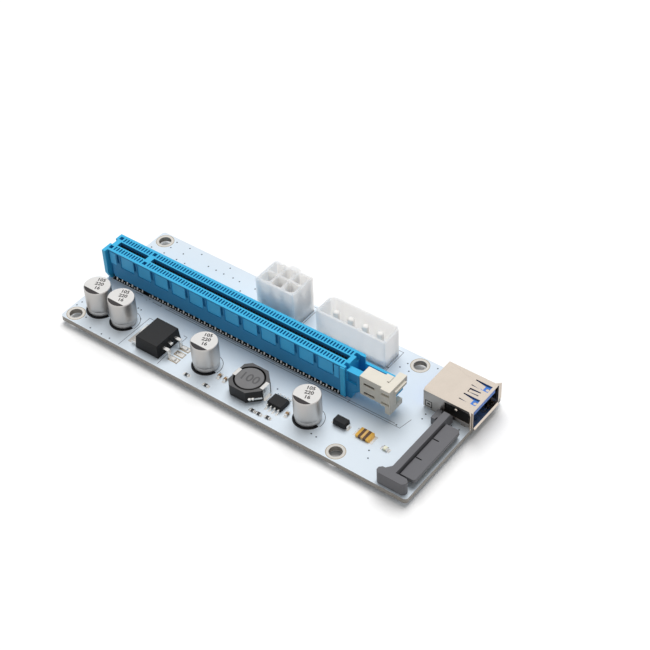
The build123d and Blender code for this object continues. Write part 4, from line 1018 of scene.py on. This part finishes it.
bevelEdges(addPiece("solderPads", solderPads(), "solderTin"), pads["softRim"], 2)
addPiece("padRims", regulatorPadRims(), "padRimTan")
print("stage: board marks made")


portBeads = {
    "topProfile": [(0.0, 0.0), (0.62, 0.0), (0.58, 0.1), (0.42, 0.22), (0.22, 0.29), (0.0, 0.31)],
    "bigBack": 0.75, "bigHeight": 6.3, "smallBack": 0.6, "smallHeight": 6.68,
    "sideProfile": [(0.0, 0.0), (0.48, 0.0), (0.44, 0.12), (0.28, 0.26), (0.0, 0.32)],
    "nearSide": (117.4, 30.74, 4.3), "farSide": (117.4, 43.06, 4.3), "sides": 24, "smallSides": 20,
}


def portDimples():
    # the pressed bead at each spring's tip: a shallow dome turned about z
    s, b = portSprings, portBeads
    bigX, smallX = s["bigTip"] - b["bigBack"], s["smallTip"] + b["smallBack"]
    places = [(bigX, y, b["bigHeight"]) for y in spaced(portMiddle, 2 * s["bigOffset"], 2)]
    places.append((smallX, portMiddle, b["smallHeight"]))
    return repeatAt(*lathe(b["topProfile"], b["sides"]), places)


def sideDimples():
    # the spring's bead in each side window: a shallow dome turned about y
    dome, faces = lathe(portBeads["sideProfile"], portBeads["smallSides"])
    near = np.stack([dome[:, 0], -dome[:, 2], dome[:, 1]], -1)
    return together((near + portBeads["nearSide"], faces), (near * (1, -1, 1) + portBeads["farSide"], faces))


addPiece("portDimples", portDimples(), "portNickel", solderSmooth)
addPiece("sideDimples", sideDimples(), "portNickel", solderSmooth)

# Plates are x0, x1, z0, z1, y and thickness. Strips are their segments, then width, low and high.
# Painted shade: the port's side and mouth pieces, the latch's window plates and the slot's foot plates and
# strip are dark pieces put where there is only shade. The slot's end panels are painted light, and the end
# rib is in the slot's plain blue.
addedPlates = {
    "portSides": [(113.6, 122.4, 1.2, 6.0, 30.72, 0.1), (113.6, 122.4, 1.2, 6.0, 42.98, 0.1)],
    "portMouth": ([(113.9, 31.3, 113.9, 42.5), (113.9, 31.3, 121.0, 31.3)], 0.1, 0.6, 4.2),
    "latchWindows": [(93.8, 98.0, 4.6, 5.9, 21.305, 0.05), (93.8, 98.0, 7.9, 9.2, 21.305, 0.05),
                     (100.35, 102.95, 5.5, 6.4, 21.385, 0.02), (100.35, 102.95, 8.8, 9.7, 21.385, 0.02)],
    "slotFoot": [(1.4, 86.6, 0.02, 1.49, 21.75, 0.3), (1.4, 86.6, 0.02, 1.49, 27.25, 0.3)],
    "slotSole": ([(2.2, 21.35, 86.2, 21.35), (2.2, 27.95, 86.2, 27.95)], 1.1, 0.0, 0.016),
    "slotEndRib": [(86.4, 88.0, 0.45, 11.1, 20.45, 0.5)], "ribRounding": 0.2,
    "slotEndPanels": [(84.25, 85.75, 6.2, 10.7, 20.84, 0.1), (1.9, 4.2, 6.5, 10.7, 20.84, 0.1)],
}
# painted shade under the slot's near and far walls: black plates, and a black strip flat on the board
slotFoot = together(thinPlates(addedPlates["slotFoot"]), ribbons(*addedPlates["slotSole"]))
# painted shade: black plates inside the port's side walls, and a black strip at the back of its mouth
addPiece("portSideShadePlates", thinPlates(addedPlates["portSides"]), "blackPartsAndPaintedShade")
addPiece("portMouthShade", ribbons(*addedPlates["portMouth"]), "blackPartsAndPaintedShade")
# painted shade: dark plates behind the latch's windows
latchWindowShadeBlock = thinPlates(addedPlates["latchWindows"])
addPiece("latchWindowShadePlates", latchWindowShadeBlock, "latchWindowShade", body="latch")
addPiece("slotFootShade", slotFoot, "blackPartsAndPaintedShade")
# the slot's two end panels in the blue lightened with painted light
addPiece("slotEndPanels", thinPlates(addedPlates["slotEndPanels"]), "slotBlueLitBay")
endRib = addPiece("slotEndRib", thinPlates(addedPlates["slotEndRib"]), "slotBluePlastic")
bevelEdges(endRib, addedPlates["ribRounding"], 3)

rearSpring = {
    "square": (107.9, 1.0, 109.9, 3.0), "slit": 0.22,
    "dot": (108.7, 2.0, 109.1, 2.0), "dotSize": 0.5, "depth": 0.012,
}


def rearLatchMarks():
    # the square spring near the port's rear end: its slit, black as painted shade of the gap, and a black dot
    # drawn flat, then stood up at each side
    depth = rearSpring["depth"]
    flat, faces = together(ribbons(outline(*rearSpring["square"]), rearSpring["slit"], -depth, depth),
                           ribbons([rearSpring["dot"]], rearSpring["dotSize"], -depth, depth))
    walls = (portSprings["near"] - depth, portSprings["far"] + depth)
    marks = [np.column_stack([flat[:, 0], wall + flat[:, 2], flat[:, 1]]) for wall in walls]
    return together(*[(points, faces) for points in marks])


addPiece("rearLatchMarks", rearLatchMarks(), "blackPartsAndPaintedShade")
print("stage: data port dressed")


studio = {
    "floorTone": 0.8, "floorHalf": 3.0, "floorHeight": -0.00002, "floorRoughness": 0.9,
    "worldTone": 0.36, "sunPower": 2.55, "sunSize": 45.0, "sunTurn": (-24.0, -14.0),
}
photoView = {
    "azimuth": 38.597, "elevation": 43.1075, "roll": -2.5086, "place": (0.21517, -0.24657, 0.31944),
    "focalPixels": 1611.627, "framePixels": 650.0, "sensor": 36.0, "clip": (0.01, 20.0),
}


def whiteForView(tree, lit):
    # white to the camera and in reflections, and the given shader's light for everything else
    path = tree.nodes.new("ShaderNodeLightPath")
    seen = mathNode(tree, "MAXIMUM", path.outputs["Is Camera Ray"], path.outputs["Is Glossy Ray"])
    seen = mathNode(tree, "MAXIMUM", seen, path.outputs["Is Transmission Ray"])
    mix = tree.nodes.new("ShaderNodeMixShader")
    white = tree.nodes.new("ShaderNodeBackground")
    white.inputs["Color"].default_value = (1, 1, 1, 1)
    white.inputs["Strength"].default_value = 1.0
    tree.links.new(seen, mix.inputs[0])
    tree.links.new(lit, mix.inputs[1])
    tree.links.new(white.outputs[0], mix.inputs[2])
    return mix.outputs[0]


def makeFloor():
    # a sheet just under the board: white to the camera, and its own tone to the light
    half, level, tone = studio["floorHalf"], studio["floorHeight"], studio["floorTone"]
    mesh = bpy.data.meshes.new("studioFloor")
    corners = [(-half, -half, level), (half, -half, level), (half, half, level), (-half, half, level)]
    mesh.from_pydata(corners, [], [(0, 1, 2, 3)])
    floor = linked("studioFloor", mesh)
    paper = bpy.data.materials.new("studioPaper")
    paper.use_nodes = True
    tree = paper.node_tree
    shader = tree.nodes["Principled BSDF"]
    path = tree.nodes.new("ShaderNodeLightPath")
    seenTone = mixColour(tree, path.outputs["Is Camera Ray"], (tone, tone, tone), (1.0, 1.0, 1.0))
    tree.links.new(seenTone, shader.inputs["Base Color"])
    shader.inputs["Roughness"].default_value = studio["floorRoughness"]
    shader.inputs["Specular IOR Level"].default_value = 0.0
    mesh.materials.append(paper)


def makeLights():
    # a pale world, and one broad sun that reflections don't show
    world = bpy.data.worlds.new("studioWorld")
    bpy.context.scene.world = world
    world.use_nodes = True
    tree = world.node_tree
    back = tree.nodes["Background"]
    tone = studio["worldTone"]
    back.inputs["Color"].default_value = (tone, tone, tone, 1)
    tree.links.new(whiteForView(tree, back.outputs[0]), tree.nodes["World Output"].inputs["Surface"])
    sunData = bpy.data.lights.new("softSun", "SUN")
    sunData.energy = studio["sunPower"]
    sunData.angle = math.radians(studio["sunSize"])
    sun = linked("softSun", sunData)
    sun.visible_glossy = False
    sun.rotation_euler = (math.radians(studio["sunTurn"][0]), math.radians(studio["sunTurn"][1]), 0.0)


def makeCamera():
    # azimuth, elevation and roll of the photograph's view, and where the lens stood
    azimuth, elevation, roll = [math.radians(photoView[angle]) for angle in ("azimuth", "elevation", "roll")]
    flat = math.cos(elevation)
    look = np.array([-math.sin(azimuth) * flat, math.cos(azimuth) * flat, -math.sin(elevation)])
    right = np.cross(look, (0.0, 0.0, 1.0))
    right /= np.linalg.norm(right)
    up = np.cross(right, look)
    rolledRight = math.cos(roll) * right + math.sin(roll) * up
    rolledUp = math.cos(roll) * up - math.sin(roll) * right
    cameraData = bpy.data.cameras.new("photoCamera")
    cameraData.sensor_width = photoView["sensor"]
    cameraData.lens = photoView["focalPixels"] / photoView["framePixels"] * photoView["sensor"]
    cameraData.clip_start, cameraData.clip_end = photoView["clip"]
    camera = linked("photoCamera", cameraData)
    matrix = Matrix((rolledRight, rolledUp, -look)).transposed().to_4x4()
    matrix.translation = photoView["place"]
    camera.matrix_world = matrix
    bpy.context.scene.camera = camera


makeFloor()
makeLights()
makeCamera()
bpy.context.scene.view_settings.view_transform = "Standard"
print("stage: floor, lights and camera set")
